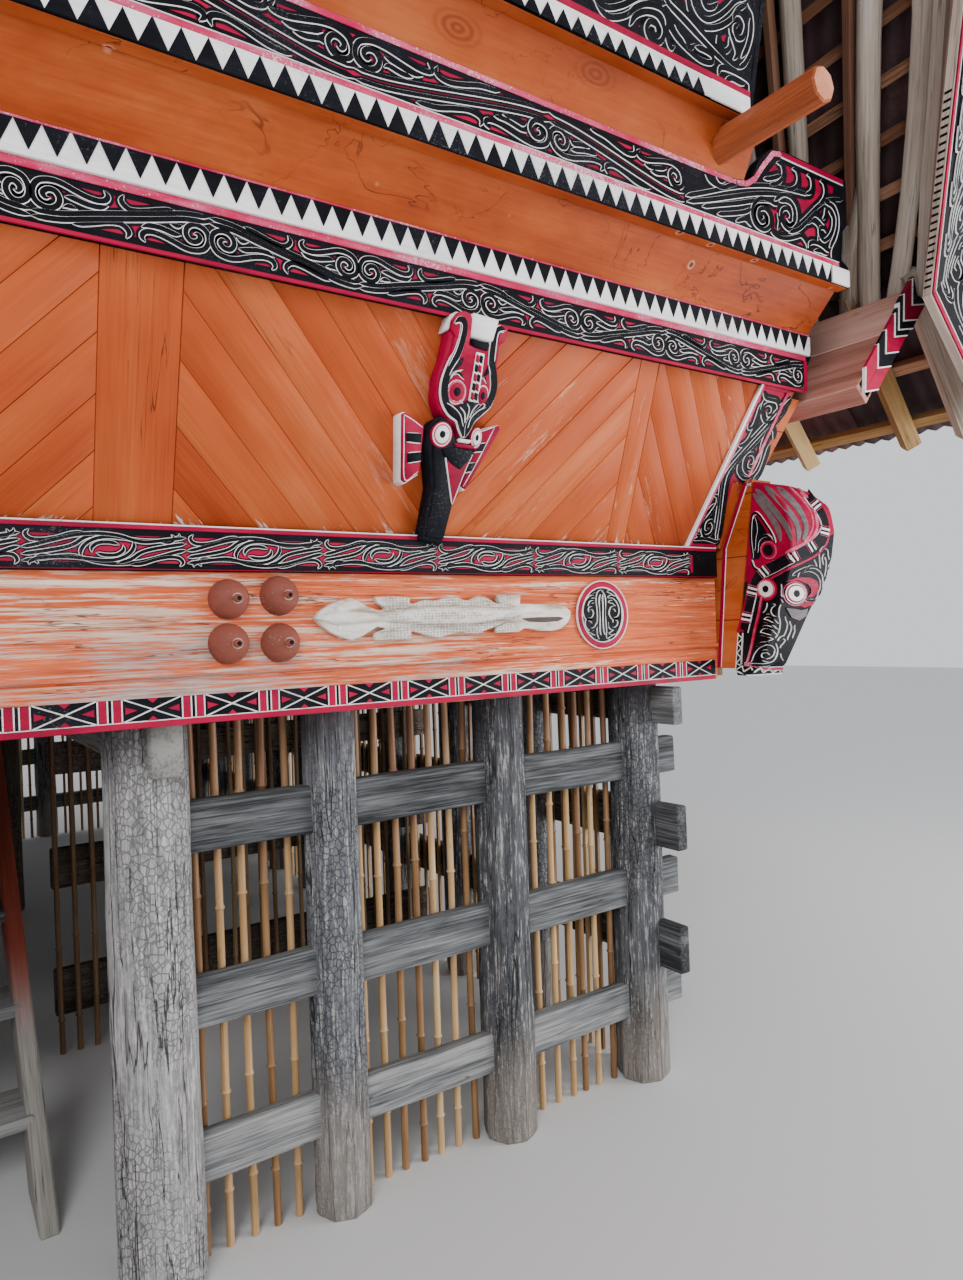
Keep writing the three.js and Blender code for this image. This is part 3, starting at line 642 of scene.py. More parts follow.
def tube(path, radii, sides, shape=None):
    """A pole along a path, from a grid that is wrapped round it. shape gives the reach at a turn."""
    bm = started()
    grain = bm.verts.layers.float_vector["grain"]
    bmesh.ops.create_grid(bm, x_segments=sides, y_segments=len(path) - 1, size=0.5)
    stops = along_path(path)
    for vert in bm.verts:
        turn = (vert.co.x + 0.5) * tau
        stop = round((vert.co.y + 0.5) * (len(path) - 1))
        point, side, over, length = stops[stop]
        reach = radii[stop] if isinstance(radii, list) else radii
        if shape:
            reach *= shape(turn % tau, length)
        vert[grain] = (length, cos(turn) * reach, sin(turn) * reach)
        vert.co = point + (side * cos(turn) + over * sin(turn)) * reach
    bmesh.ops.remove_doubles(bm, verts=bm.verts, dist=1e-5)
    closed(bm)
    bmesh.ops.recalc_face_normals(bm, faces=bm.faces)
    return bm


def stroke(a, b, steps):
    a, b = Vector(a), Vector(b)
    return [a.lerp(b, i / steps) for i in range(steps + 1)]


def chamfered(sides, roundness):
    """The reach of a squared or eight-sided pole at a turn, from 1 at its corners."""
    face = pi / sides

    def reach(turn, length=0.0):
        return cos(face) / cos((turn % (2 * face)) - face) * (1 - roundness) + roundness
    return reach


# Posts, rails and bamboo


def post(x, y, radius, seed, sides, rings, top=FLOOR, octagon=0.75, taper=0.06):
    """A hewn post with checks: narrow grooves that wander up its faces."""
    corners = chamfered(8, 1 - octagon)
    grooves = [(random.Random(seed * 31 + k).uniform(0, tau), random.Random(seed * 17 + k).uniform(0.1, 0.9))
               for k in range(9)]

    def reach(turn, height):
        spot = Vector((cos(turn) * 2.2, sin(turn) * 2.2, height * 2.6 + seed * 9.0))
        bulge = noise.noise(spot) * 0.045
        chips = noise.noise(Vector((cos(turn) * 9, sin(turn) * 9, height * 16 + seed))) * 0.012
        cut = 0.0
        for start, middle in grooves:
            wander = noise.noise(Vector((height * 2.1, start * 5, seed))) * 0.35
            off = abs((turn - start - wander + pi) % tau - pi)
            depth = max(0.0, 1 - abs(height / top - middle) / 0.42)
            cut += 0.07 * depth * max(0.0, 1 - off / 0.085)
        return corners(turn) * (1 + taper * (1 - height / top)) + bulge + chips - min(cut, 0.11)

    path = stroke((x, y, 0), (x, y, top), rings)
    path[1].z, path[-2].z = 0.012, top - 0.008
    radii = [radius] * len(path)
    radii[0], radii[-1] = radius * 0.95, radius * 0.965
    return tube(path, radii, sides, reach)


def rails(work, heights, x, y, cuts, finish=0, along=(1, 0, 0), tone=None):
    for z in heights:
        work.add(block(x, y, z, 0.007, cuts, 0.006, 2), finish, along, tone and tone(z[0]))


def cane(x, y, top, seed, sides=6, joints=4):
    """A bamboo pole: a swollen ring at each of its joints."""
    own = random.Random(seed)
    foot, radius = 0.001, 0.012
    heights, radii = [foot], [radius]
    step = (top - foot) / (joints + 0.5)
    at = foot + step * own.uniform(0.4, 0.8)
    while at < top - 0.05:
        heights += [at - 0.006, at, at + 0.008]
        radii += [radius * 0.92, radius * 1.28, radius * 0.95]
        at += step * own.uniform(0.85, 1.15)
    heights.append(top)
    radii.append(radius * 0.94)
    sway = own.uniform(-0.006, 0.006)
    path = []
    for height in heights:
        share = (height - foot) / (top - foot)
        path.append((x + sway * sin(share * pi), y + sway * 0.5 * sin(share * pi * 2), height))
    return tube(path, radii, sides)


COLUMNS = ((0.58, 0.110), (1.11, 0.085), (1.74, 0.090), (2.38, 0.095))  # the front posts' places and radii
FRONT_RAILS = ((0.240, 0.370), (0.665, 0.805), (1.148, 1.290))
SIDE_RAILS = ((0.432, 0.606), (0.887, 1.055), (1.360, 1.500))
INNER_RAILS = ((0.156, 0.350), (0.696, 0.865), (1.180, 1.320))
BEAM_UNDER = 1.4006  # underside of the cross beams below the floor

for number, (x, radius) in enumerate(COLUMNS, 1):
    corner = number == 1
    log = Work()
    log.add(post(x, 0, radius, number, 56 if corner else 48, 60, octagon=0.35 if corner else 0.8))
    pair(f"hewn_post_{number}", log, [grey_log if corner else dark_log],
         [f"front_post_{number}"], 50)


def front_fence():
    work = Work()
    rails(work, FRONT_RAILS, (0.62, 2.58), (-0.03, 0.02), 14, tone=lambda low: 0.85 - low * 0.6)
    for (left, left_radius), (right, right_radius) in zip(COLUMNS, COLUMNS[1:]):
        x = left + left_radius * 1.06 + 0.012
        end = right - right_radius * 1.06 - 0.012
        while x <= end:
            sway, height = draw.uniform(-0.006, 0.006), draw.uniform(-0.01, 0.01)
            work.add(cane(x + sway, 0.034, 1.5 + height, int(x * 1000), 10, 5), 1)
            x += 0.068
    return work


def side_fence():
    work = Work()
    rails(work, SIDE_RAILS, (2.396, 2.446), (-0.2, DEPTH + 0.2), 40, along=(0, 1, 0))
    for bay in range(1, 10):
        work.add(post(2.38, DEPTH / 10 * bay, 0.085, 20 + bay, 20, 14, taper=0), 1)
    y = 0.16
    while y < DEPTH - 0.14:
        if abs((y + 0.32) % 0.64 - 0.32) > 0.11:
            work.add(cane(2.378, y, 1.49, int(y * 977)), 2)
        y += 0.07
    return work


def rear_fence():
    work = Work()
    rails(work, FRONT_RAILS, (-2.58, 2.58), (DEPTH - 0.02, DEPTH + 0.03), 30)
    for x, radius in COLUMNS:
        for side in (-1, 1):
            work.add(post(side * x, DEPTH, radius, 40 + side * x, 24, 16), 1)
    x = -2.24
    while x < 2.25:
        if all(abs(abs(x) - column) > radius + 0.02 for column, radius in COLUMNS):
            work.add(cane(x, DEPTH - 0.034, 1.5, int(x * 911)), 2)
        x += 0.07
    return work


def inner_row(row, columns, beam, cuts, fenced=False):
    """Posts and a cross beam under the floor; the first row also has a plank and bamboo fence."""
    work = Work()
    for x in columns:
        work.add(post(x, row, 0.09, 60 + x, 24, 16, 1.40, taper=0))
    if fenced:
        rails(work, INNER_RAILS, (0.54, 2.3956), (row + 0.02, row + 0.065), 14, 1)
        x = 0.56
        while x < 2.32:
            work.add(cane(x, row + 0.004, 1.385, int(x * 1013)), 2)
            x += 0.068
    work.add(block(beam, (row - 0.05, row + 0.05), (BEAM_UNDER, FLOOR), 0.006, cuts, 0.003), 0, (1, 0, 0))
    return work


pair("stall_fence", front_fence(), [fence_wood, bamboo], ["front_stall_fence"], 50)
pair("side_fence", side_fence(), [fence_wood, dark_log, bamboo], ["side_post_frame"], 50)
piece("rear_fence", rear_fence(), [fence_wood, dark_log, bamboo], ["rear_post_frame"], 50)
pair("inner_fence", inner_row(1.6, (0.93, 1.81), (0.6485, 2.86), 8, True), [painted_shade_log, painted_shade_log, painted_shade_bamboo],
     ["inner_post_row_1"], 50)
piece("inner_posts", inner_row(4.0, (-1.74, -0.58, 0.58, 1.74), (-2.86, 2.86), 24), [painted_shade_log],
      ["inner_post_row_2"], 50)
trim = Work()
trim.add(block((0.563, 0.648), (-0.135, 3.9496), (1.375, FLOOR), 0.006, 20, 0.0015), 0, (0, 1, 0))
pair("hatch_joist", trim, [pale_end], ["hatch_trimmer"], 50)

# Carving: vines are strips of black between white flanks, on a crimson ground

BLACK, WHITE, CRIMSON, ROSE = range(4)
carving_paints = [black, white, crimson, rose]

# Faces that carry carving, along Y
BEAM_FACE, CROSS_FACE, LOW_BAND_FACE = -0.199, -0.1995, -0.215
UPPER_FACE, FLARED_FACE, GABLE_FACE, WALL_FACE = -0.43, -0.60, -0.70, -0.20
WALL_FOOT, WALL_TOP, WALL_LEAN = 2.02, 2.603, -0.339
GABLE_FOOT, GABLE_LEAN = 3.36, -0.2


def upright(face):
    return lambda x, z, height: (x, face - height, z)


def leaning(face, base, lean):
    """Lays carving on a board that leans forward; height is measured square to the front."""
    return lambda x, z, height: (x, face + lean * (z - base) - height, z)


wall_lay = leaning(WALL_FACE, WALL_FOOT, WALL_LEAN)


def oblong(x0, x1, low, high):
    return (x0, low), (x1, low), (x1, high), (x0, high)


def sketched(line, squares, x=0.0, z=0.0):
    """A drawn line in metres, from its drawing's upper left corner; squares is how many make a metre."""
    return [(x + across / squares, z - down / squares) for across, down in line]


def smoothed(points, per):
    """A flowing line through a few points."""
    ends = [2 * points[0] - points[1], *points, 2 * points[-1] - points[-2]]
    flow = []
    for a, b, c, d in zip(ends, ends[1:], ends[2:], ends[3:]):
        for i in range(per):
            t = i / per
            flow.append(0.5 * (2 * b + (c - a) * t + (2 * a - 5 * b + 4 * c - d) * t * t
                               + (3 * b - a - 3 * c + d) * t ** 3))
    return [*flow, points[-1]]


class Carving(Work):
    """Work on one face of the house. It is drawn in metres along and up that face, and lay puts it there."""

    def __init__(self, lay):
        super().__init__()
        self.lay = lay

    def outward(self):
        return Vector(self.lay(0, 0, 1.0)) - Vector(self.lay(0, 0, 0.0))

    def vine(self, points, width=0.0155, tapered=True, per=4, relief=0.0027, top=BLACK, sides=WHITE, skirt=0.0,
             flank=0.0016, lift=0.0):
        """One carved strand, with white flanks.

        A skirt is the strand's black background, painted on either side of its flanks.
        """
        flow = smoothed([Vector(p) for p in points], per)
        bm = started()
        count = len(flow) - 1
        rows = 5 if skirt else 3
        ground = draw.uniform(0.0006, 0.0014) if skirt else 0.0
        relief = relief + round(abs(flow[0].x) * 1000) % 7 * 0.00013  # so that crossing strands don't share a level
        bmesh.ops.create_grid(bm, x_segments=count, y_segments=rows, size=0.5)
        for face in bm.faces:
            off = abs(face.calc_center_median().y) * rows
            face.material_index = sides if 0.5 < off < 1.5 else top
        run = [0.0]
        for a, b in zip(flow, flow[1:]):
            run.append(run[-1] + (b - a).length)
        for vert in bm.verts:
            i = round((vert.co.x + 0.5) * count)
            row = round((vert.co.y + 0.5) * rows) + (3 - rows) // 2
            ahead = (flow[min(i + 1, count)] - flow[max(i - 1, 0)]).normalized()
            wide = width
            if tapered:
                for gone in (run[i], run[-1] - run[i]):
                    wide *= sin(min(1.0, 0.12 + gone / (width * 1.6)) * pi / 2)
            line = min(flank, wide * 0.35)
            edge = wide / 2 + skirt * width if row in (-1, 4) else wide / 2
            off = (-edge, -wide / 2, line - wide / 2, wide / 2 - line, wide / 2, edge)[row + 1]
            at = flow[i] + Vector((-ahead.y, ahead.x)) * off
            vert.co = self.lay(at.x, at.y, lift + (relief if row in (1, 2) else ground))
        facing(bm, self.outward())
        self.add(bm, None)

    def field(self, corners, finish, height=0.0012):
        """A flat patch of paint a hair above the board."""
        bm = started()
        bm.faces.new([bm.verts.new(self.lay(x, z, height)) for x, z in corners])
        facing(bm, self.outward())
        self.add(bm, finish)

    def patch(self, corners, finish, height=0.004, low=0.0, edge=0.0012, segments=1):
        """A raised tablet of paint with eased edges."""
        base = [self.lay(x, z, low) for x, z in corners]
        push = Vector(self.lay(0, 0, height)) - Vector(self.lay(0, 0, low))
        self.add(slab(base, push, edge, segments), finish)

    def strip(self, x0, x1, low, high, finish, height=0.004):
        self.patch(oblong(x0, x1, low, high), finish, height)

    def teeth(self, end, low, high, pitch, ground, tooth, point_up=False):
        """A row of painted triangles over a ledge of another colour."""
        self.strip(0, end, low, high, ground, 0.005)
        near, far, inset = (low - 0.0025, high, -0.003) if point_up else (high, low, 0.001)
        wide = pitch * 0.485
        x = 0
        while x + pitch * 0.98 < end:
            middle = x + pitch / 2 + draw.uniform(-0.002, 0.002)
            corners = ((middle - wide, near), (middle + wide, near), (middle, far + inset))
            self.patch(corners, tooth, 0.0075, 0.003, 0.0008)
            x += pitch

    def cell(self, drawn, box, start, end, low, high, width, per=4, skirt=0.42):
        """Lays a cell's strands and their half-turned twins between two points along a band."""
        across, up = abs(end - start) / box[0], (high - low) / box[1]
        for line, twin in drawn:
            for turned in (False, True)[: 2 if twin else 1]:
                points = []
                for u, v in line:
                    if turned:
                        u, v = box[0] - u, box[1] - v
                    if start > end:
                        u = box[0] - u
                    points.append((min(start, end) + u * across, low + v * up))
                self.vine(points, width if twin else width * 0.8, per=per, skirt=skirt)


UPPER_BOX, LOW_BOX, FLARED_BOX = (370, 109), (370, 94), (550, 128)
UPPER_CELL = (
    (((0, 22), (55, 27), (115, 43), (185, 61), (255, 79), (315, 95), (370, 100)), True),
    (((143, 104), (151, 93), (146, 81), (130, 76), (108, 79), (84, 87), (60, 96), (38, 98), (15, 90), (4, 70),
      (6, 49), (19, 37), (37, 35), (51, 45), (55, 61), (47, 75), (33, 76), (23, 66), (28, 56), (38, 58)), True),
    (((152, 70), (134, 62), (108, 62), (82, 68), (64, 68)), True),
    (((184, 105), (178, 91), (185, 79), (200, 73), (226, 78), (256, 88), (292, 99)), True),
    (((90, 46), (72, 48), (60, 42)), True),
)
LOW_CELL = (
    (((126, 24), (126, 42), (138, 60), (160, 73), (190, 78), (226, 75), (262, 71), (300, 71), (334, 75), (352, 84),
      (353, 93)), True),
    (((150, 36), (150, 50), (165, 62), (190, 64), (212, 58)), True),
    (((0, 12), (50, 20), (98, 27), (128, 22), (160, 12), (205, 8), (256, 14), (306, 29), (345, 42), (370, 48)), True),
    (((0, 28), (46, 37), (88, 47), (112, 57), (134, 74), (166, 86)), True),
    (((18, 92), (10, 80), (20, 68), (44, 66), (76, 73), (106, 84), (136, 88)), True),
    (((36, 4), (30, 16), (42, 26), (66, 24)), True),
)
FLARED_CELL = (
    (((0, 34), (80, 40), (180, 58), (275, 78), (370, 98), (470, 115), (550, 121)), False),
    (((0, 7), (80, 12), (180, 30), (275, 50), (370, 70), (470, 88), (550, 94)), False),
    (((190, 122), (202, 108), (192, 97), (162, 96), (122, 105), (82, 115), (46, 117), (16, 105), (4, 82), (6, 60),
      (20, 48), (42, 46), (58, 57), (64, 77), (52, 94), (34, 93), (24, 80), (32, 68), (43, 72)), True),
    (((176, 80), (142, 78), (104, 86), (76, 92)), True),
    (((150, 66), (118, 66), (88, 72), (74, 64)), True),
    (((218, 124), (212, 106), (224, 95), (252, 92), (292, 102), (340, 117), (396, 122)), True),
)
FLARE_END = (
    ((545, 298), (640, 262), (760, 215), (880, 176), (980, 152), (1100, 136), (1180, 128)),
    ((550, 314), (660, 280), (780, 238), (880, 204), (970, 180), (1060, 162)),
    ((620, 312), (700, 286), (790, 258), (870, 230), (930, 212), (980, 204)),
    ((690, 318), (770, 296), (830, 276), (866, 256)),
    ((640, 205), (670, 222), (720, 226), (760, 208), (800, 192)),
    ((690, 190), (712, 206), (735, 196), (742, 184)),
    ((1002, 66), (1028, 64), (1040, 86), (1030, 114), (1000, 138), (960, 152)),
    ((1088, 62), (1114, 62), (1124, 88), (1112, 116), (1080, 136), (1044, 146)),
    ((1172, 60), (1196, 62), (1204, 90), (1192, 116), (1160, 132)),
    ((1248, 60), (1272, 64), (1280, 92), (1268, 122), (1238, 150)),
    ((1030, 100), (1000, 116), (966, 130), (930, 140)),
    ((1078, 274), (1140, 232), (1200, 182), (1254, 140), (1310, 112), (1390, 92)),
    ((1060, 290), (1120, 262), (1180, 214), (1230, 170)),
    ((985, 200), (1030, 168), (1078, 164), (1112, 190), (1116, 236), (1086, 272), (1046, 276), (1020, 252), (1026, 222),
     (1054, 208), (1076, 224), (1068, 246), (1050, 242)),
    ((1010, 196), (1046, 184), (1080, 188), (1094, 216), (1084, 246)),
    ((1000, 214), (960, 206), (914, 210), (880, 236), (866, 272), (882, 304), (924, 312), (958, 292), (962, 260),
     (938, 240), (908, 248), (898, 272), (914, 288), (934, 276), (926, 264)),
    ((960, 310), (1004, 318), (1050, 312), (1096, 296), (1130, 284), (1158, 300), (1162, 320)),
    ((1000, 296), (1012, 266), (1000, 236)),
    ((1290, 112), (1336, 116), (1364, 150), (1366, 200), (1346, 250), (1318, 290), (1306, 322)),
    ((1270, 130), (1318, 134), (1346, 164), (1344, 206), (1322, 250), (1294, 290)),
    ((1296, 156), (1322, 174), (1320, 212), (1296, 248), (1262, 270), (1238, 254), (1242, 230), (1266, 226),
     (1276, 240)),
    ((1166, 236), (1194, 216), (1226, 222), (1240, 250), (1226, 280)),
    ((1184, 204), (1214, 190), (1246, 196), (1268, 214)),
    ((1276, 150), (1276, 178), (1256, 200)),
    ((1170, 318), (1180, 298), (1212, 288), (1256, 292), (1290, 306)),
    ((1200, 320), (1240, 312), (1280, 318)),
    ((780, 320), (830, 300), (860, 318)),
)
GABLE_END = (
    ((870, 362), (888, 330), (928, 306), (972, 302), (1002, 328), (992, 360), (956, 368), (934, 348), (944, 326),
     (968, 326), (972, 342)),
    ((860, 340), (884, 312), (926, 288), (980, 280), (1010, 300), (1014, 336), (1034, 362), (1052, 352)),
    ((740, 345), (790, 364), (850, 342), (900, 302), (950, 276), (1000, 262)),
    ((720, 330), (776, 346), (836, 322), (890, 284), (940, 258), (985, 246)),
    ((990, 254), (1060, 274), (1150, 300), (1250, 326), (1330, 336)),
    ((1000, 240), (1080, 258), (1180, 290), (1280, 318), (1340, 322)),
    ((1004, 300), (1050, 328), (1110, 346), (1164, 354), (1206, 346), (1206, 328), (1170, 324), (1130, 328)),
    ((1040, 300), (1086, 318), (1110, 338), (1132, 320)),
    ((1075, 226), (1106, 256), (1156, 268), (1216, 248), (1266, 212), (1292, 176), (1330, 150)),
    ((1090, 206), (1124, 238), (1164, 246), (1206, 226), (1246, 192), (1280, 156), (1330, 132)),
    ((1130, 190), (1156, 214), (1186, 206), (1206, 186)),
    ((1276, 214), (1282, 190), (1310, 184), (1334, 204), (1328, 238), (1302, 248), (1286, 228), (1304, 210)),
    ((1216, 270), (1228, 296), (1256, 300), (1276, 282), (1268, 258)),
    ((1262, 236), (1290, 262), (1310, 290), (1296, 312)),
    ((1330, 146), (1364, 160), (1380, 206), (1374, 256), (1352, 302), (1322, 326)),
    ((1350, 180), (1358, 220), (1348, 266), (1330, 296)),
    ((1240, 374), (1246, 348), (1290, 340), (1350, 340), (1384, 348), (1386, 374)),
    ((1268, 378), (1300, 360), (1360, 362)),
)
SLANT = (
    ((664, 62), (604, 128), (522, 218), (432, 306), (344, 396), (276, 474), (250, 534), (262, 620), (284, 740),
     (296, 852)),
    ((640, 56), (582, 120), (500, 208), (412, 296), (322, 388), (250, 470), (234, 540), (246, 630), (262, 740),
     (262, 800)),
    ((646, 100), (604, 158), (520, 248), (440, 330), (364, 402), (296, 484), (280, 540), (292, 640), (310, 760),
     (318, 860)),
    ((412, 64), (446, 88), (496, 92), (546, 96), (572, 130), (566, 176), (528, 204), (478, 204), (444, 172),
     (446, 134), (480, 114), (516, 124), (524, 154), (500, 172), (480, 156)),
    ((432, 96), (428, 150), (416, 210), (396, 270), (372, 318), (330, 348), (300, 340)),
    ((412, 120), (404, 190), (388, 244), (360, 252), (348, 226)),
    ((590, 290), (582, 250), (552, 234), (520, 256), (504, 320), (506, 392), (488, 456), (442, 484), (398, 462),
     (386, 420), (408, 388), (448, 382), (476, 410), (466, 444), (434, 444), (428, 420)),
    ((562, 262), (540, 290), (532, 360), (526, 430), (490, 492), (420, 512), (360, 484), (340, 440)),
    ((566, 320), (556, 400), (540, 470), (500, 516)),
    ((196, 622), (228, 624), (238, 660), (208, 712), (170, 762), (166, 810), (200, 840), (244, 824), (254, 784),
     (226, 756), (194, 768), (196, 800), (218, 798)),
    ((222, 660), (184, 700), (150, 760), (144, 820)),
    ((110, 862), (170, 852), (240, 856), (300, 866), (330, 852)),
    ((120, 836), (140, 838), (180, 866)),
)


def upper_band():
    band = Carving(upright(UPPER_FACE))
    band.field(oblong(0, 2.90, 2.622, 2.702), CRIMSON, 0.0005)
    stops = (0, 0.30, 0.67, 1.05, 1.43, 1.80, 2.17, 2.55, 2.915)
    for number, (a, b) in enumerate(zip(stops, stops[1:])):
        start, end = (a, b) if number % 2 else (b, a)
        band.cell(UPPER_CELL, UPPER_BOX, start, end, 2.610, 2.713, 0.0148)
    band.strip(0, 2.93, 2.716, 2.735, ROSE)
    band.strip(0, 2.925, 2.594, 2.604, CRIMSON, 0.006)
    band.strip(2.918, 2.935, 2.6045, 2.7155, CRIMSON, 0.006)
    band.strip(0, 2.948, 2.7355, 2.750, WHITE, 0.012)
    band.teeth(2.96, 2.7505, 2.8115, 0.0545, WHITE, BLACK)
    band.strip(0, 2.96, 2.812, 2.8198, ROSE, 0.003)
    return band


def low_band():
    band = Carving(upright(LOW_BAND_FACE))
    band.field(oblong(0, 2.62, 1.922, 1.988), CRIMSON, 0.0005)
    band.cell(LOW_CELL, LOW_BOX, 0, 0.28, 1.912, 1.998, 0.0112, skirt=0.3)
    for k in range(6):
        start = 0.28 + 0.37 * k
        band.cell(LOW_CELL, LOW_BOX, start, start + 0.37, 1.912, 1.998, 0.0115, skirt=0.3)
    band.strip(2.51, 2.63, 1.9085, 2.0015, BLACK, 0.003)
    band.vine([(2.52, 1.93), (2.56, 1.955), (2.6, 1.94), (2.61, 1.92)])
    band.vine([(2.53, 1.985), (2.57, 1.97), (2.61, 1.98)])
    band.strip(0, 2.64, 2.0045, 2.0155, CRIMSON)
    band.strip(0, 2.64, 2.0155, 2.0192, WHITE, 0.005)
    band.strip(0, 2.64, 1.9058, 1.9078, CRIMSON)
    return band


def flared_band():
    band = Carving(upright(FLARED_FACE))
    band.field(oblong(0, 2.09, 3.034, 3.138), CRIMSON, 0.0005)
    band.field(((2.40, 3.034), (2.88, 3.034), (2.88, 3.29), (2.56, 3.29), (2.46, 3.19), (2.40, 3.16)), CRIMSON, 0.0005)
    for start, end in ((0, 0.42), (0.97, 0.42), (0.97, 1.56), (2.09, 1.56)):
        band.cell(FLARED_CELL, FLARED_BOX, start, end, 3.026, 3.147, 0.0165)
    for line in FLARE_END:
        band.vine(sketched(line, 1000, 1.55, 3.35), 0.0175, skirt=0.75)
    band.strip(0, 2.34, 3.152, 3.168, ROSE)
    edge = [(2.34, 3.168), (2.39, 3.178), (2.432, 3.206), (2.478, 3.262), (2.532, 3.318), (2.575, 3.328)]
    inner = [(x + 0.010, z - 0.016) for x, z in edge]
    for a, b, c, d in zip(edge, edge[1:], inner, inner[1:]):
        band.patch((c, d, b, a), ROSE)
    band.strip(2.58, 2.94, 3.312, 3.33, CRIMSON)
    band.strip(2.58, 2.94, 3.307, 3.3115, WHITE)
    band.strip(0, 2.90, 3.003, 3.0195, ROSE)
    band.strip(0, 2.90, 3.0198, 3.0222, WHITE, 0.005)
    band.teeth(2.85, 2.9415, 3.0015, 0.057, BLACK, WHITE)
    band.strip(2.852, 2.955, 2.9415, 3.0, WHITE, 0.009)
    return band


def gable_band():
    band = Carving(leaning(GABLE_FACE, GABLE_FOOT, GABLE_LEAN))
    band.field(oblong(0, 2.26, 3.40, 3.77), CRIMSON, 0.0005)
    for line in GABLE_END:
        band.vine(sketched(line, 1000, 0.9, 3.75), 0.0185, skirt=0.85)
    for start, end in ((0, 0.82), (1.64, 0.82)):
        band.cell(UPPER_CELL, UPPER_BOX, start, end, 3.39, 3.79, 0.024, 6)
    band.strip(0, 2.29, 3.3625, 3.379, CRIMSON)
    band.strip(0, 2.29, 3.784, 3.799, CRIMSON)
    band.strip(2.288, 2.306, 3.3795, 3.7835, BLACK)
    band.lay = upright(GABLE_FACE)
    band.teeth(2.11, 3.3045, 3.349, 0.052, WHITE, BLACK, True)
    band.strip(0, 2.11, 3.3492, 3.361, WHITE, 0.005)
    band.strip(2.1102, 2.287, 3.303, 3.361, WHITE, 0.007)
    return band


def soffits():
    """The orange boards carried on under the lips of the upper bands."""
    work = Work()
    lip, thick = 0.038, 0.0016
    for wide, y, z in ((2.95, -0.598, 2.938), (2.30, -0.698, 3.298)):
        for out in (y, DEPTH - y - lip):
            work.add(block((-wide, wide), (out, out + lip), (z, z + thick), 0.0003), 0, (1, 0, 0))
    return work


def rear_bands():
    """The rear's bands: plain painted strips and teeth, where the front is carved."""
    band = Carving(None)

    def behind(face, foot=0.0, lean=0.0):
        return lambda x, z, height: (x, DEPTH - face - lean * (z - foot) + height, z)

    upper, flared, ledge = behind(UPPER_FACE), behind(FLARED_FACE), behind(GABLE_FACE)
    gable = behind(GABLE_FACE, GABLE_FOOT, GABLE_LEAN)
    for band.lay, wide, low, high, tint in (
        (upper, 2.92, 2.596, 2.612, CRIMSON), (upper, 2.92, 2.6125, 2.7155, BLACK),
        (upper, 2.93, 2.716, 2.735, ROSE), (flared, 2.90, 3.003, 3.0195, ROSE),
        (flared, 2.90, 3.020, 3.1515, BLACK), (flared, 2.34, 3.152, 3.168, ROSE),
        (gable, 2.28, 3.3625, 3.379, CRIMSON), (gable, 2.28, 3.3795, 3.7835, BLACK),
        (gable, 2.28, 3.784, 3.799, CRIMSON),
    ):
        band.strip(0, wide, low, high, tint)
    for band.lay, end, low, high, pitch, ground, tooth, point_up in (
        (upper, 2.95, 2.7525, 2.7995, 0.0545, WHITE, BLACK, False),
        (flared, 2.85, 2.9565, 3.0015, 0.057, BLACK, WHITE, False),
        (ledge, 2.11, 3.3065, 3.349, 0.052, WHITE, BLACK, True),
    ):
        band.teeth(end, low, high, pitch, ground, tooth, point_up)
    return doubled(band)


def slanted_band():
    """The carved strip up the leaning end of the front wall."""
    band = Carving(wall_lay)
    foot, slope = 2.496, (2.711 - 2.496) / 0.585
    low, top = WALL_FOOT + 0.001, WALL_TOP

    def side(off, z):
        return (foot + off + slope * (z - WALL_FOOT), z)

    def slant(a, b, low, high, tint, height):
        band.patch((side(a, low), side(b, low), side(b, high), side(a, high)), tint, height)

    raised = leaning(WALL_FACE - 0.008, WALL_FOOT, WALL_LEAN)
    band.patch((side(-0.002, low), side(0.151, low), side(0.079, 2.262), side(0.157, 2.2705), side(0.160, top),
                side(-0.002, top)), CRIMSON, 0.008)
    band.lay = raised
    for line in SLANT:
        band.vine(sketched(line, 1500, 2.44, 2.62), skirt=0.7)
    band.lay = wall_lay
    slant(-0.016, -0.016 + 0.013, low, top, WHITE, 0.014)
    slant(-0.003, -0.003 + 0.012, low, top, ROSE, 0.014)
    band.lay = raised
    slant(0.140, 0.155, 2.283, top, ROSE, 0.006)
    slant(0.01, 0.14, 2.022, 2.032, CRIMSON, 0.006)
    slant(0.01, 0.155, 2.592, top, CRIMSON, 0.006)
    return band


pair("upper_band_carving", upper_band(), carving_paints, (), 0)
pair("low_band_carving", low_band(), carving_paints, (), 0)
pair("flared_band_carving", flared_band(), carving_paints, (), 0)
weathered = Work()
weathered.add(slab([(x, FLARED_FACE, z) for x, z in ((2.915, 3.03), (2.958, 3.01), (2.958, 3.17), (2.928, 3.14))],
                   (0, -0.009, 0)), 0, (0, 0, 1))
pair("weathered_band_end", weathered, [grey_weathered])
pair("gable_band_carving", gable_band(), carving_paints, (), 0)
piece("band_soffits", soffits(), [step_board], (), 0)
piece("rear_painted_bands", rear_bands(), carving_paints, (), 0)
pair("slanted_band_carving", slanted_band(), carving_paints, (), 0)

# Leaning front wall: boards in herringbone, between uprights

SEAM = 0.0006  # half the gap between two boards


def clipped(corners, cuts):
    """An outline cut back by lines: each is a point and the direction that is thrown away."""
    bm = bmesh.new()
    bm.faces.new([bm.verts.new((x, 0, z)) for x, z in corners])
    for (x, z), (away_x, away_z) in cuts:
        sliced(bm, (x, 0, z), (away_x, 0, away_z), True)
    kept = [[(v.co.x, v.co.z) for v in face.verts] for face in bm.faces]
    bm.free()
    return kept[0] if kept else []


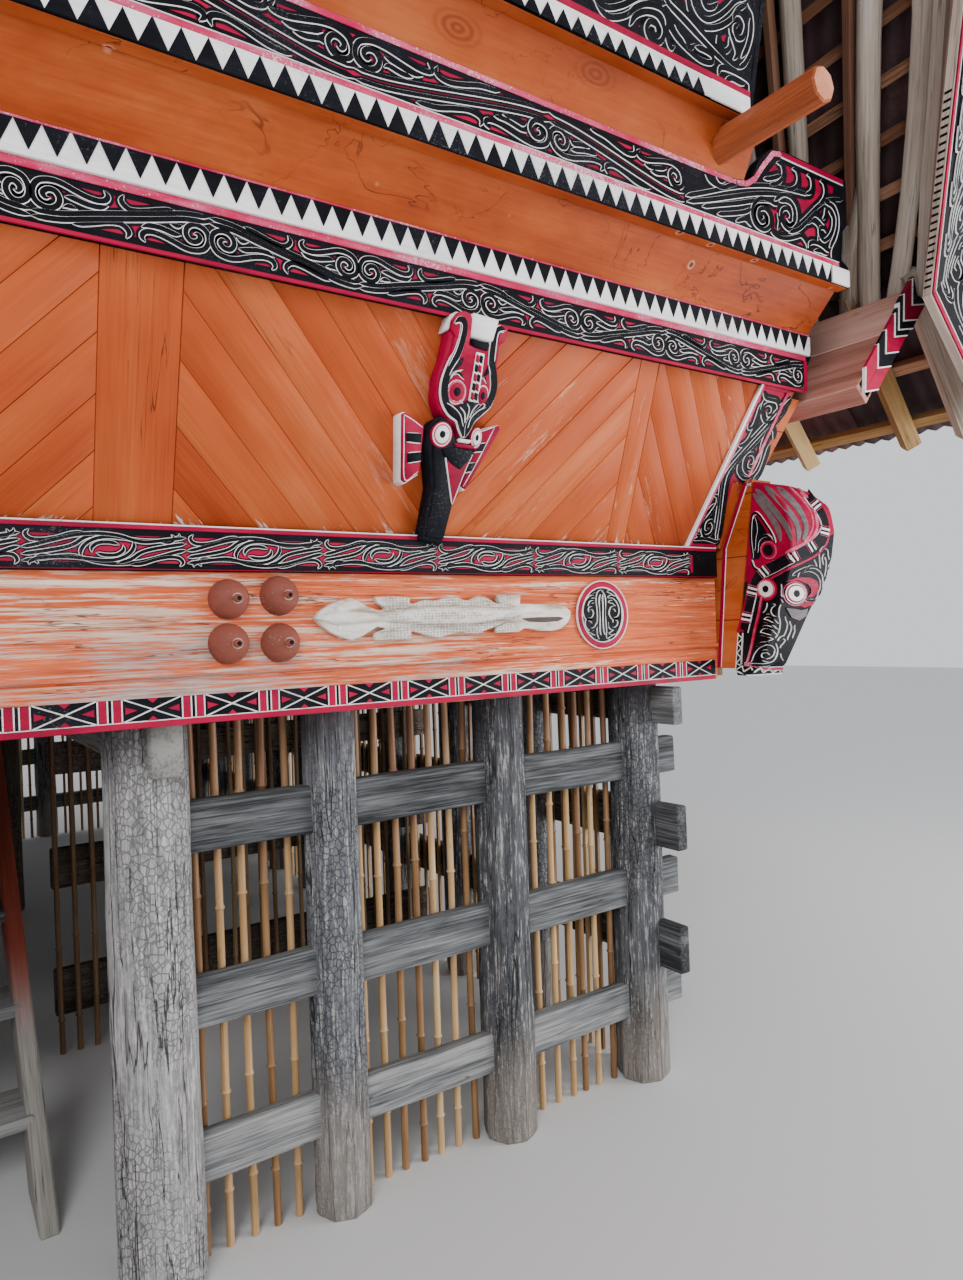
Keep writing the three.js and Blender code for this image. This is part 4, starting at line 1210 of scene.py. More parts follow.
def wall_panel():
    work = Work()
    low, high, thick = 2.0205, 2.6045, 0.030
    rise, fall, steep_fall = (0.7071, 0.7071), (0.6961, -0.7179), (0.55, -0.835)
    wall = ((0.0, low), (2.690, low), (2.7296, 2.2696), (2.7654, 2.2704), (2.9046, high), (0.0, high))

    def between(left, right):
        return [((left + SEAM, 0), (-1, 0)), ((right - SEAM, 0), (1, 0))]

    def board(cuts, way, tone=None):
        outline = clipped(wall, cuts)
        if len(outline) < 3:
            return
        proud = draw.uniform(0.0, 0.0015)
        base = [wall_lay(x, z, -thick) for x, z in outline]
        along = (way[0], WALL_LEAN * way[1], way[1])
        work.add(slab(base, (0, -thick - proud, 0), 0.0016), 0, along, tone)

    for left, right, way, width in ((0.0, 0.437, rise, 0.094), (0.620, 1.345, fall, 0.094),
                                    (1.345, 2.09, rise, 0.1), (2.174, 2.93, steep_fall, 0.104)):
        across = Vector((-way[1], way[0]))
        reach = [Vector(corner).dot(across) for corner in oblong(left, right, low, high)]
        at = min(reach) - draw.uniform(0.2, 0.8) * width
        while at < max(reach):
            wide = width * draw.uniform(0.9, 1.12)
            start, end = across * (at + SEAM), across * (at + wide - SEAM)
            board([*between(left, right), (start, -across), (end, across)], way)
            at += wide
    for left, right in ((0.437, 0.620), (2.09, 2.174)):
        board(between(left, right), (0, 1), 0.45 + 0.1 * draw.random())
    return doubled(work)


piece("herringbone_wall", wall_panel(), [board_paint], ["front_wall"])

# Front beam with its moulding and its band of crosses

BEAM_END = 2.6494
BEAM_SECTION = ((BEAM_FACE, 1.9046), (-0.200, 1.657), (-0.209, 1.651), (-0.209, 1.640), (-0.193, 1.633),
                (BEAM_FACE, 1.626), (-0.200, 1.519), (-0.196, 1.5155), (-0.050, 1.5155), (-0.050, 1.9046))


def front_beam():
    work = Work()
    bm = slab([(-BEAM_END, y, z) for y, z in BEAM_SECTION], (2 * BEAM_END, 0, 0), 0.002)
    for cut in range(1, 40):
        sliced(bm, (-BEAM_END + 2 * BEAM_END * cut / 40, 0, 0), (1, 0, 0))
    hewn(bm, 0.0022, 3.0, 2.0)
    work.add(bm, 0, (1, 0, 0))
    return work


def cross_band():
    band = Carving(upright(CROSS_FACE))
    low, high, end = 1.534, 1.5895, 2.635
    centre = (low + high) / 2
    pitch, bar, line = 0.1985, 0.019, 0.0032
    band.strip(0, end, 1.5165, 1.5325, CRIMSON, 0.003)
    band.strip(0, end, low, high, BLACK, 0.0025)
    band.strip(0, end, 1.532, 1.5346, WHITE, 0.0036)
    band.lay = upright(-0.202)

    def bars(middle):
        for side in (-1, 1):
            left = middle + side * 0.0165 - bar / 2
            band.strip(left - line, left, low, high, WHITE, 0.003)
            band.strip(left, left + bar, low + 0.001, high - 0.001, CRIMSON, 0.0022)
            band.strip(left + bar, left + bar + line, low, high, WHITE, 0.003)

    def crossed(left, right):
        middle = (left + right) / 2
        for start, stop in ((low, high), (high, low)):
            band.vine([(left, start), (middle, centre), (right, stop)], 0.0038, False, 1, 0.003, WHITE)
        for tip, foot in ((left + 0.032, left + 0.004), (right - 0.032, right - 0.004)):
            band.field(((foot, centre - 0.009), (tip, centre), (foot, centre + 0.009)), CRIMSON, 0.0015)
        for tip, foot in ((low + 0.012, low), (high - 0.012, high)):
            band.field(((middle - 0.014, foot), (middle + 0.014, foot), (middle, tip)), CRIMSON, 0.0015)

    crossed(-0.0305, 0.0305)
    for k in range(13):
        middle = 0.0615 + pitch * k
        bars(middle)
        crossed(middle + 0.031, min(middle + 0.1675, 2.632))
    return doubled(band)


piece("front_beam_log", front_beam(), [beam_paint], ["front_beam"], 30)
piece("beam_cross_band", cross_band(), carving_paints, (), 0)


def both(*names):
    return [name + side for name in names for side in ("_right", "_left")]


def dress(finish, *nodes):
    """Gives CAD nodes a finish of their own."""
    for node in nodes:
        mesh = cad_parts[node].data
        mesh.materials.clear()
        mesh.materials.append(finish)


# Black paint for the bands' carved ground; where their undersides show below the teeth, the black is also painted shade
# under the lips.
dress(black, "front_low_band", "front_upper_band", "front_flared_band", "front_gable_panel")
dress(step_board, "front_lower_step_board", "front_upper_step_board", "rear_beam", "rear_upper_band",
      "rear_flared_band", *both("rear_verge_board"))
dress(plank_board, "front_gable_peak", "rear_wall", "rear_gable")
dress(side_board, *both("side_beam", "side_wall"))

# Wall plate, leaning out along the side, and the purlin

PLATE_FOOT = Vector((2.990, 2.5555))
PLATE_UP = (Vector((3.3585, 2.981)) - PLATE_FOOT).normalized()
PLATE_OUT = Vector((PLATE_UP.y, -PLATE_UP.x))


def wall_plate():
    """Two wide planks and a moulding, leaning out along the side."""
    work = Work()
    for start, end, low, thick in ((0.012, 0.300, -0.034, 0.072), (0.302, 0.562, -0.036, 0.073),
                                   (-0.006, 0.048, -0.036, 0.082), (0.052, 0.066, 0.030, 0.014)):
        section = [PLATE_FOOT + PLATE_UP * up + PLATE_OUT * out for up, out in oblong(start, end, low, low + thick)]
        work.add(slab([(p.x, -0.6196, p.y) for p in section], (0, DEPTH + 1.2392, 0)), 0, (0, 1, 0))
    return work


def plate_chevrons():
    """Painted chevrons on the end of the wall plate."""

    def lay(up, out, height):
        at = PLATE_FOOT + PLATE_UP * up + PLATE_OUT * out
        return (at.x, -0.620 - height, at.y)

    band = Carving(lay)
    tints = (CRIMSON, BLACK, CRIMSON, BLACK, BLACK, CRIMSON, BLACK)
    stops = (0.004, 0.134, 0.216, 0.312, 0.352, 0.405, 0.500, 0.562)
    for number, (start, end, tint) in enumerate(zip(stops, stops[1:], tints)):
        lift = 0.012 + 0.0015 * number
        reach = 0.062 if number > 3 else 0.054
        rise = reach * 1.35
        for out in (-reach, reach):
            for low, high, colour, height in ((start, end, tint, lift),
                                              (start - 0.004, start + 0.004, WHITE, lift + 0.003)):
                corners = ((low + rise, out), (low, 0.0), (high, 0.0), (high + rise, out))
                band.patch([(min(up, 0.60), across) for up, across in corners], colour, height, edge=0.001)
    return band


def purlin_log():
    x, z, radius, end_radius = 2.25, 3.24, 0.0519, 0.046
    corners = chamfered(8, 0.18)

    def reach(turn, length):
        off = abs((turn - 3.6 - 0.25 * noise.noise(Vector((length * 1.5, 0, 5))) + pi) % tau - pi)
        return corners(turn) - 0.10 * max(0.0, 1 - off / 0.06) + 0.02 * noise.noise(Vector((length * 2, turn, 1)))

    path = [(x, -0.9846, z), (x, -0.979, z), *stroke((x, -0.95, z), (x, 0.4, z), 24),
            *stroke((x, 0.6, z), (x, 7.37, z), 12), (x, 7.3796, z), (x, 7.3846, z)]
    log = tube(path, [end_radius] + [radius] * (len(path) - 2) + [end_radius], 48, reach)
    for face in log.faces:
        face.material_index = 1 if abs(face.normal.y) > 0.9 else 0
    work = Work()
    work.add(log, None)
    return work


pair("wall_plate_planks", wall_plate(), [brown_varnish], ["wall_plate"])
pair("plate_chevrons", plate_chevrons(), carving_paints, (), 0)
pair("purlin_log", purlin_log(), [step_paint, purlin_end], ["purlin"], 35)

# Roof: corrugated sheets over battens and poles

EAVE, BEND = (3.95, 2.57), (3.42, 3.10)
OVERHANG, RIDGE_OVERHANG = 0.8, 3.33
EAVE_LENGTH = DEPTH + 2 * OVERHANG
RIDGE_LENGTH = DEPTH + 2 * RIDGE_OVERHANG


def ridge_height(t):
    return 7.0 + 1.5 * (2 * t - 1) ** 2


def roof_point(u, t, drop=0.0):
    """The underside of the covering: u runs from the eave over the bend (1) to the ridge (2)."""
    eave_y = -OVERHANG + EAVE_LENGTH * t
    if u <= 1:
        return Vector((EAVE[0] + (BEND[0] - EAVE[0]) * u, eave_y, EAVE[1] + (BEND[1] - EAVE[1]) * u - drop))
    s = u - 1
    ridge_y = -RIDGE_OVERHANG + RIDGE_LENGTH * t
    return Vector((BEND[0] * (1 - s), eave_y + (ridge_y - eave_y) * s,
                   BEND[1] + (ridge_height(t) - BEND[1]) * s - drop))


def roof_sheets():
    """Rows of corrugated sheets, each row lapped over the one below it."""
    work = Work()
    waves, per_sheet, cuts_per_wave = 108, 10, 4
    for number, (low, high) in enumerate(((0.0, 1.02), (1.0, 1.30), (1.27, 1.56), (1.53, 1.80), (1.77, 1.999))):
        for sheet in range(0, waves, per_sheet):
            wide = min(waves, sheet + per_sheet) - sheet
            bm = started()
            bmesh.ops.create_grid(bm, x_segments=wide * cuts_per_wave, y_segments=4 if number else 3, size=0.5)
            proud = 0.003 * ((sheet // per_sheet) % 2)
            for vert in bm.verts:
                step = (vert.co.x + 0.5) * wide
                swell = 0.008 + 0.007 * cos(step * tau)
                u = low + (high - low) * (vert.co.y + 0.5)
                vert.co = roof_point(u, min((sheet + step) / waves, 1.0), -swell - proud - 0.004 * number)
            facing(bm, UP)
            work.add(bm)
    return work


def ridge_timber():
    work = Work()
    for k in range(12):
        (ya, za), (yb, zb) = ((-RIDGE_OVERHANG + RIDGE_LENGTH * t, ridge_height(t))
                              for t in (0.006 + 0.988 * k / 12, 0.006 + 0.988 * (k + 1) / 12))
        outline = [(-0.05, ya, za - 0.33), (-0.05, yb, zb - 0.33), (-0.05, yb, zb - 0.17), (-0.05, ya, za - 0.17)]
        work.add(slab(outline, (0.1, 0, 0), 0.0), 0, (0, 1, 0))
    return work


BARE, BROWN, BATTEN, SAWN = range(4)
POLES = (  # station along the roof, drop below the covering, radius, and a squared pole's wood; the rest are round
    (0.020, 0.10, 0.032, BARE), (0.036, 0.13, 0.030, None), (0.049, 0.15, 0.040, None), (0.059, 0.15, 0.018, BROWN),
    (0.084, 0.15, 0.037, None), (0.094, 0.15, 0.018, BROWN), (0.112, 0.15, 0.034, None), (0.18, 0.15, 0.045, None),
    (0.27, 0.15, 0.045, None), (0.36, 0.15, 0.045, None), (0.455, 0.15, 0.045, None),
)
TAILS = (0.030, 0.061, 0.125, 0.20, 0.28, 0.36, 0.44, 0.56, 0.64, 0.72, 0.80, 0.875, 0.939, 0.970)
FORKED, LEANT = 2, 1  # the pole with a fork at its foot, and the crooked one with a second pole against it


def bent_pole(t, drop, radius, seed, bend):
    """A natural pole from the wall plate to the ridge, with its own crook."""
    own = random.Random(seed)
    path = []
    for k in range(25):
        share = k / 24
        spot = roof_point(0.985 + share * 1.0, t, drop)
        crook = bend * sin(min(1.0, share * 3.2) * pi) if share < 0.32 else 0.0
        spot.y += 0.03 * noise.noise(Vector((share * 4, seed, 0))) - crook
        spot.x += 0.02 * noise.noise(Vector((share * 4, seed, 9)))
        path.append(spot)
    radii = [radius * (1.04 - 0.2 * k / 24 + 0.06 * own.uniform(-1, 1)) for k in range(25)]
    radii[0] *= 0.9

    def reach(turn, length):
        return 1 + 0.07 * noise.noise(Vector((cos(turn) * 1.5, sin(turn) * 1.5, length * 1.6 + seed)))
    return tube(path, radii, 14, reach)


def rafters():
    work = Work()
    for number, (t, drop, radius, wood) in enumerate(POLES):
        for far in (0, 1):
            way = -1 if far else 1
            at = 1 - t if far else t
            if wood is not None:
                path = [roof_point(0.985 + k / 16 * 1.0, at, drop) for k in range(17)]
                work.add(tube(path, radius * 1.25, 16, chamfered(4, 0.12)), wood)
            else:
                bend = 0.07 * way if number == LEANT else 0.0
                work.add(bent_pole(at, drop, radius, number + 3 + 20 * far, bend))
            if number == LEANT:
                work.add(bent_pole(at + 0.004 * way, drop + 0.02, radius * 0.8, 77 + far, 0.075 * way))
            if number == FORKED:
                foot, fork = roof_point(0.99, at, drop), roof_point(1.10, at, drop)
                out = 0.11 * way
                branch = [foot + Vector((0.01, out, 0.02)), foot.lerp(fork, 0.5) + Vector((0, out * 0.75, 0)), fork]
                work.add(tube(branch, [0.042, 0.04, 0.03], 12))
    for row in range(33):
        path = [roof_point(1.03 + row * 0.0287, 0.012 + 0.976 * k / 16, 0.046) for k in range(17)]
        work.add(tube(path, 0.025, 8, chamfered(4, 0.1)), BATTEN)
    for u, wood in ((0.18, SAWN), (0.55, BATTEN), (0.86, BATTEN)):
        path = [roof_point(u, 0.012 + 0.976 * k / 12, 0.055) for k in range(13)]
        work.add(tube(path, 0.032, 16, chamfered(4, 0.1)), wood)
    for number, t in enumerate(TAILS):
        tail = stroke(roof_point(0.13, t, 0.125), roof_point(1.02, t, 0.125), 3)
        work.add(tube(tail, 0.048, 16, chamfered(4, 0.08)), SAWN if number % 3 else BARE)
    return work


pair("roof_sheets", roof_sheets(), [roof_sheet, roof_under], ["roof_cover"], 60)
for name in both("roof_sheets"):
    wall = bpy.data.objects[name].modifiers.new("thickness", "SOLIDIFY")
    wall.thickness = 0.004
    wall.offset = -1
    wall.material_offset = 1
piece("ridge_timber", ridge_timber(), [bare_pole], ["ridge_beam"])
pair("roof_poles", rafters(), [bare_pole, brown_pole, batten_wood, sawn_wood], ["rafter_frame"])

# Figures on the front: breasts, lizards, discs, masks and beam heads


def turned(profile, centre, sides=32):
    """A round figure on the front: its profile gives the reach and how far it stands out."""
    bm = started()
    line = [bm.verts.new((reach, -out, 0)) for reach, out in profile]
    edges = [bm.edges.new(ends) for ends in zip(line, line[1:])]
    bmesh.ops.spin(bm, geom=line + edges, cent=(0, 0, 0), axis=(0, 1, 0), angle=tau, steps=sides, use_merge=True)
    bmesh.ops.remove_doubles(bm, verts=bm.verts, dist=1e-5)
    bmesh.ops.recalc_face_normals(bm, faces=bm.faces)
    facing(bm, Vector((0, -1, 0)))
    bmesh.ops.translate(bm, verts=bm.verts, vec=centre)
    return bm


def breasts():
    work = Work()
    dome = [(0.0535 * cos(k * pi / 2 / 9), 0.052 * sin(k * pi / 2 / 9) ** 0.9) for k in range(9)]
    profile = [(0.050, 0.0), *dome, (0.011, 0.0515), (0.0105, 0.060), (0.007, 0.063), (0.0, 0.0635)]
    for number, (x, z) in enumerate(((0.756, 1.833), (0.893, 1.841), (0.752, 1.717), (0.892, 1.715))):
        breast = turned(profile, (x, BEAM_FACE, z))
        hewn(breast, 0.0014, number, 22)
        for vert in breast.verts:
            vert.co.x += 0.010 * max(0.0, (BEAM_FACE - vert.co.y) / 0.063) ** 3
        work.add(breast, 0)
        rim = [(0.0145, 0.0), (0.0135, 0.0022), (0.009, 0.0030), (0.0085, 0.0)]
        work.add(turned(rim, (x + 0.009, -0.2495, z), 14), 1)
        work.add(turned([(0.0075, 0.0), (0.006, 0.006), (0.0, 0.0065)], (x + 0.0095, -0.2565, z), 10), 2)
    return work


LIZARD = ((42, 122), (70, 92), (110, 66), (165, 46), (212, 40), (250, 56), (286, 78), (322, 88), (350, 96), (372, 86),
          (360, 76), (334, 62), (326, 36), (410, 34), (492, 38), (494, 66), (520, 66), (570, 50), (612, 54), (650, 50),
          (692, 38), (740, 40), (776, 52), (812, 54), (858, 34), (900, 38), (940, 60), (968, 70), (992, 70),
          (968, 56), (962, 28), (1030, 30), (1104, 30), (1098, 72), (1200, 74), (1320, 76), (1382, 88), (1414, 112),
          (1412, 140), (1390, 170), (1350, 196), (1300, 206), (1220, 204), (1160, 192), (1120, 190), (1086, 206),
          (960, 208), (958, 180), (990, 172), (1020, 156), (970, 172), (910, 188), (850, 208), (800, 204), (752, 196),
          (700, 206), (640, 220), (590, 212), (540, 196), (496, 184), (496, 222), (318, 222), (322, 192), (372, 172),
          (330, 162), (300, 178), (260, 200), (210, 218), (160, 204), (110, 180), (70, 152))


def lizard():
    work = Work()
    squares = 1500

    def at(px, py, height=0.0):
        return Vector((0.957 + px / squares, BEAM_FACE - height, 1.86 - py / squares))

    work.add(slab([at(px, py) for px, py in LIZARD], (0, -0.024, 0), 0.0045), 0, (1, 0, 0), 0.5)
    ridge = ((60, 122, 8), (140, 124, 30), (260, 122, 26), (340, 122, 20), (460, 118, 34), (600, 122, 44),
             (760, 124, 44), (900, 120, 38), (1040, 116, 26), (1090, 112, 16))
    path = [at(px, py, 0.018) for px, py, half in ridge]
    body = tube([path[0] - Vector((0.008, 0, 0)), *path], [0.006] + [half / squares * 1.3 for px, py, half in ridge],
                20, lambda turn, length: 0.72 + 0.28 * abs(cos(turn)))
    work.add(body, 0, (1, 0, 0), 0.6)
    eye = 8 / squares
    for py in (84, 168):
        work.add(turned([(eye * 1.4, 0.0), (eye, 0.004), (0.0, 0.005)], at(150, py, 0.0235), 14), 0, (1, 0, 0), 0.2)
    for px in (1130, 1200, 1270, 1330):
        scale = [at(px - 16, 150, 0.012), at(px + 10, 170, 0.016), at(px + 40, 152, 0.012)]
        work.add(tube(scale, [0.004, 0.009, 0.004], 8), 0, (1, 0, 0), 0.4)
    # painted shadow: a thin dark sheet in the hollow, standing for the shade inside it
    hollow = [at(px, py, 0.0242) for px, py in ((1100, 142), (1200, 138), (1340, 138), (1366, 146), (1330, 160),
                                                (1240, 164), (1150, 160))]
    work.add(slab(hollow, (0, -0.0012, 0), 0.0), 1)
    return work


def disc():
    x, y, z = middle = (2.055, BEAM_FACE, 1.772)
    work = Carving(lambda across, up, height: (x + across, y - 0.006 - height, z + up))
    for profile, tint in (
        ([(0.117, 0.0), (0.117, 0.008), (0.114, 0.010), (0.096, 0.010), (0.094, 0.007)], CRIMSON),
        *(([(reach + 0.0022, 0.006), (reach + 0.001, 0.0125), (reach - 0.001, 0.0125), (reach - 0.0022, 0.006)], WHITE)
          for reach in (0.1165, 0.0945)),
        ([(0.095, 0.0), (0.0945, 0.006), (0.0, 0.006)], BLACK),
    ):
        work.add(turned(profile, middle, 48), tint)
    lines = (
        ((0, 86), (-16, 74), (-22, 50), (-18, 0), (-22, -50), (-18, -84)),
        ((-6, 70), (-9, 30), (-7, -20), (-9, -70)),
        ((-26, 60), (-50, 62), (-74, 44), (-84, 14), (-74, -10), (-50, -14), (-36, 4), (-44, 22), (-58, 22),
         (-62, 10)),
        ((-28, 44), (-50, 44), (-64, 30)),
        ((-26, -26), (-34, -44), (-56, -50), (-74, -36), (-72, -18), (-56, -16), (-48, -28)),
        ((-26, -66), (-40, -64), (-58, -56), (-72, -56)),
        ((-22, -84), (-40, -80), (-58, -68)),
        ((-24, 80), (-44, 78), (-64, 64)),
    )
    for line in lines:
        for side in (1, -1):
            work.vine([(across * side / 1000, up / 1000) for across, up in line], 0.0115, relief=0.004)
    return work


def mask():
    """A carved mask: a crimson upper face over a bearded black one with fan ears."""
    squares = 1400
    work = Carving(lambda x, z, height: wall_lay(1.14 + x, 2.65 + z, height))

    def shape(points, finish, low, high, edge=0.003, segments=1):
        work.patch(sketched(points, squares), finish, high, low, edge, segments)

    def line(points, width, finish, out, relief):
        work.vine(sketched(points, squares), width, True, 5, relief, finish, flank=0.0033, lift=out)

    def ring(px, py, rings, squash=1.0):
        for reach, low, high, finish in rings:
            points = [(px + reach * squash * cos(k * pi / 12), py + reach * sin(k * pi / 12)) for k in range(24)]
            shape(points, finish, low, high, 0.0012)

    ears = (((88, 440), (102, 434), (196, 472), (202, 656), (140, 698), (122, 688)),
            ((436, 470), (552, 436), (560, 452), (428, 706), (400, 694), (436, 566)))
    for ear in ears:
        shape(ear, WHITE, 0.0, 0.046)
        middle = Vector((sum(p[0] for p in ear) / 6, sum(p[1] for p in ear) / 6))
        shape([middle + (Vector(p) - middle) * 0.96 for p in ear], CRIMSON, 0.044, 0.052, 0.002)
    bars = (((118, 512), (184, 508), (188, 544), (124, 544)), ((134, 584), (194, 574), (198, 608), (140, 620)),
            ((446, 524), (494, 514), (482, 548), (440, 556)), ((412, 602), (456, 594), (442, 630), (400, 638)))
    for bar in bars:
        shape(bar, BLACK, 0.048, 0.056, 0.001)
        line((bar[0], bar[1]), 0.0045, WHITE, 0.051, 0.004)
        line((bar[3], bar[2]), 0.0045, WHITE, 0.051, 0.004)
    for edge in (((100, 448), (140, 462), (190, 486)), ((100, 448), (116, 560), (138, 682), (192, 648)),
                 ((528, 448), (450, 478)), ((528, 448), (470, 580), (414, 690))):
        line(edge, 0.005, WHITE, 0.049, 0.004)
    shape(((216, 484), (234, 450), (262, 434), (300, 446), (350, 510), (440, 520), (462, 470), (470, 520), (440, 572),
           (408, 620), (372, 760), (352, 920), (250, 907), (262, 700), (240, 610), (214, 534)), BLACK, 0.0, 0.052,
          0.005, 2)
    shape(((232, 474), (262, 444), (310, 456), (346, 516), (350, 560), (312, 600), (372, 760), (352, 905), (264, 895),
           (276, 700), (252, 600)), BLACK, 0.046, 0.058, 0.005, 2)
    shape(((296, 560), (432, 566), (414, 620), (368, 766)), CRIMSON, 0.046, 0.0595, 0.002)
    for edge in (((296, 560), (330, 660), (366, 764)), ((432, 566), (404, 640), (368, 762))):
        line(edge, 0.005, WHITE, 0.057, 0.004)
    shape(((282, 556), (340, 546), (430, 552), (424, 584), (380, 630), (338, 612), (298, 586)), BLACK, 0.05, 0.063,
          0.005, 2)
    shape(((252, 74), (276, 58), (344, 56), (344, 118), (262, 122), (240, 128)), WHITE, 0.0, 0.044)
    shape(((464, 66), (530, 72), (524, 112), (460, 112)), CRIMSON, 0.0, 0.046)
    outline = ((270, 92), (306, 78), (336, 90), (344, 150), (450, 152), (462, 100), (500, 78), (520, 92), (500, 150),
               (500, 220), (520, 290), (504, 366), (460, 424), (412, 462), (392, 516), (362, 516), (346, 470),
               (302, 450), (258, 418), (232, 372), (226, 294), (246, 224), (256, 134))
    shape(outline, CRIMSON, 0.0, 0.050, 0.010, 3)
    shape([(360 + (px - 360) * 0.82, 290 + (py - 290) * 0.86) for px, py in outline], CRIMSON, 0.046, 0.057, 0.005, 2)
    shape(((340, 58), (466, 64), (452, 146), (346, 140)), WHITE, 0.02, 0.062, 0.004)
    shape(((350, 146), (444, 152), (434, 184), (362, 178)), BLACK, 0.03, 0.0595, 0.006, 2)
    shape(((266, 380), (300, 398), (340, 388), (372, 366), (424, 366), (450, 384), (470, 366), (450, 404),
           (404, 436), (386, 500), (372, 500), (348, 436), (296, 410)), BLACK, 0.05, 0.0585, 0.001)
    for px, py in ((300, 250), (452, 246)):
        shape(((px - 26, py + 36), (px - 6, py - 16), (px + 30, py - 32), (px + 22, py - 4), (px + 4, py + 12)), BLACK,
              0.05, 0.0592, 0.001)
    shape(((254, 128), (256, 94), (276, 66), (304, 57), (334, 62), (347, 84), (346, 160), (318, 200), (300, 170)),
          CRIMSON, 0.04, 0.058, 0.002)
    shape(((460, 150), (462, 100), (484, 76), (516, 82), (520, 110), (504, 140), (480, 150)), CRIMSON, 0.05, 0.058,
          0.002)
    for width, finish, lines in (
        (0.029, BLACK, (((262, 108), (284, 92), (306, 100), (310, 140), (298, 200), (272, 262), (258, 320), (266, 372),
                         (300, 414), (348, 440), (374, 506)),
                        ((506, 96), (482, 92), (464, 112), (458, 160), (462, 220), (480, 268), (488, 316), (474, 366),
                         (436, 404), (402, 440), (382, 508)))),
        (0.0055, WHITE, (((268, 110), (286, 102), (299, 110), (299, 140), (288, 196), (262, 258)),
                         ((496, 104), (478, 104), (470, 120), (470, 160), (472, 214)),
                         ((306, 226), (284, 262), (272, 290)), ((330, 262), (296, 276), (280, 300)),
                         ((448, 232), (462, 262)), ((276, 388), (310, 400), (346, 424), (368, 466)),
                         ((340, 396), (366, 416), (374, 452)), ((300, 380), (330, 372), (352, 382)),
                         ((462, 384), (430, 400), (400, 430), (390, 470)), ((424, 376), (404, 400), (392, 432)),
                         ((440, 372), (456, 376), (446, 392)), ((372, 380), (386, 400), (380, 440)))),
        (0.014, BLACK, (((344, 296), (312, 274), (276, 286)), ((450, 296), (436, 276), (424, 284)))),
    ):
        for points in lines:
            line(points, width, finish, 0.056 if width < 0.01 else 0.054, 0.005 if width > 0.01 else 0.0045)
    ring(316, 344, ((45, 0.050, 0.0585, WHITE), (42, 0.054, 0.0605, ROSE), (34, 0.056, 0.0620, CRIMSON),
                    (17, 0.058, 0.0628, BLACK)))
    ring(440, 344, ((42, 0.050, 0.0575, WHITE), (37, 0.054, 0.0595, ROSE), (32, 0.056, 0.0610, CRIMSON),
                    (15, 0.057, 0.0618, BLACK)), 0.72)
    shape(((382, 190), (422, 192), (424, 372), (376, 370)), WHITE, 0.045, 0.0600, 0.002)
    for number, py in enumerate((200, 234, 268, 302, 336)):
        for px in (389, 406):
            tint = BLACK if (number + (px > 400)) % 2 else CRIMSON
            shape(((px - 6, py), (px + 8, py + 5), (px + 8, py + 30), (px - 6, py + 25)), tint, 0.056, 0.0632, 0.0006)
    shape(((352, 512), (412, 514), (408, 526), (356, 526)), WHITE, 0.05, 0.0640, 0.001)
    shape(((336, 530), (436, 532), (428, 546), (344, 546)), CRIMSON, 0.05, 0.0632, 0.002)
    ring(274, 505, ((50, 0.050, 0.060, CRIMSON), (44, 0.055, 0.0615, WHITE), (40, 0.058, 0.0625, ROSE),
                    (33, 0.059, 0.0635, WHITE), (14, 0.060, 0.0645, BLACK)))
    ring(440, 502, ((44, 0.050, 0.058, CRIMSON), (38, 0.054, 0.0600, WHITE), (34, 0.056, 0.0610, ROSE),
                    (28, 0.057, 0.0622, WHITE), (12, 0.058, 0.0632, BLACK)), 0.66)
    return work


pair("breast_carvings", breasts(), [clay, chipped_clay, black], (), 60)
pair("lizard_carving", lizard(), [lizard_wood, shadow_wood], (), 45)
pair("carved_disc", disc(), carving_paints)
pair("mask_carving", mask(), carving_paints, ["wall_mask"], 50)

# Beam heads. A pattern is drawn as it is seen from the front corner, then laid on the two faces.

NOSE = ((-0.325, 1.53), (-0.395, 1.565), (-0.425, 1.66), (-0.455, 1.76), (-0.492, 1.86), (-0.512, 1.96),
        (-0.505, 2.06), (-0.47, 2.155), (-0.415, 2.22), (-0.36, 2.25))
SIGHT = 1.95  # from the eye to the plane on which the pattern is drawn
RED, DARK, PALE, PINK, GREY = range(5)


def head_front(z):
    for (ya, za), (yb, zb) in zip(NOSE, NOSE[1:]):
        if z <= zb:
            break
    return ya + (yb - ya) * min(1.15, max(-0.1, (z - za) / (zb - za)))


def head_left(z):
    return 2.65 + 0.11 * (z - 1.53)


def head_lay(across, up, height):
    """A drawn point on the head's front or on its inner cheek."""
    eye_x, eye_y, eye_z = EYE
    seen_x, seen_z = 2.604 + across, 2.29 + up
    z = seen_z
    for _ in range(5):
        depth = head_front(z) - eye_y
        z = eye_z + (seen_z - eye_z) * depth / SIGHT
    x = eye_x + (seen_x - eye_x) * depth / SIGHT
    if x >= head_left(z):
        return (x, head_front(z) - height, z)
    for _ in range(5):
        depth = (head_left(z) - eye_x) * SIGHT / (seen_x - eye_x)
        z = eye_z + (seen_z - eye_z) * depth / SIGHT
    return (head_left(z) - height, depth + eye_y, z)


def head_drawn(points):
    """Drawn points in metres on the sight plane, from its upper left corner."""
    return [((28 + (px - 375) * 1.089) / 1300, -(578 + (py - 895) * 0.70) / 1300) for px, py in points]


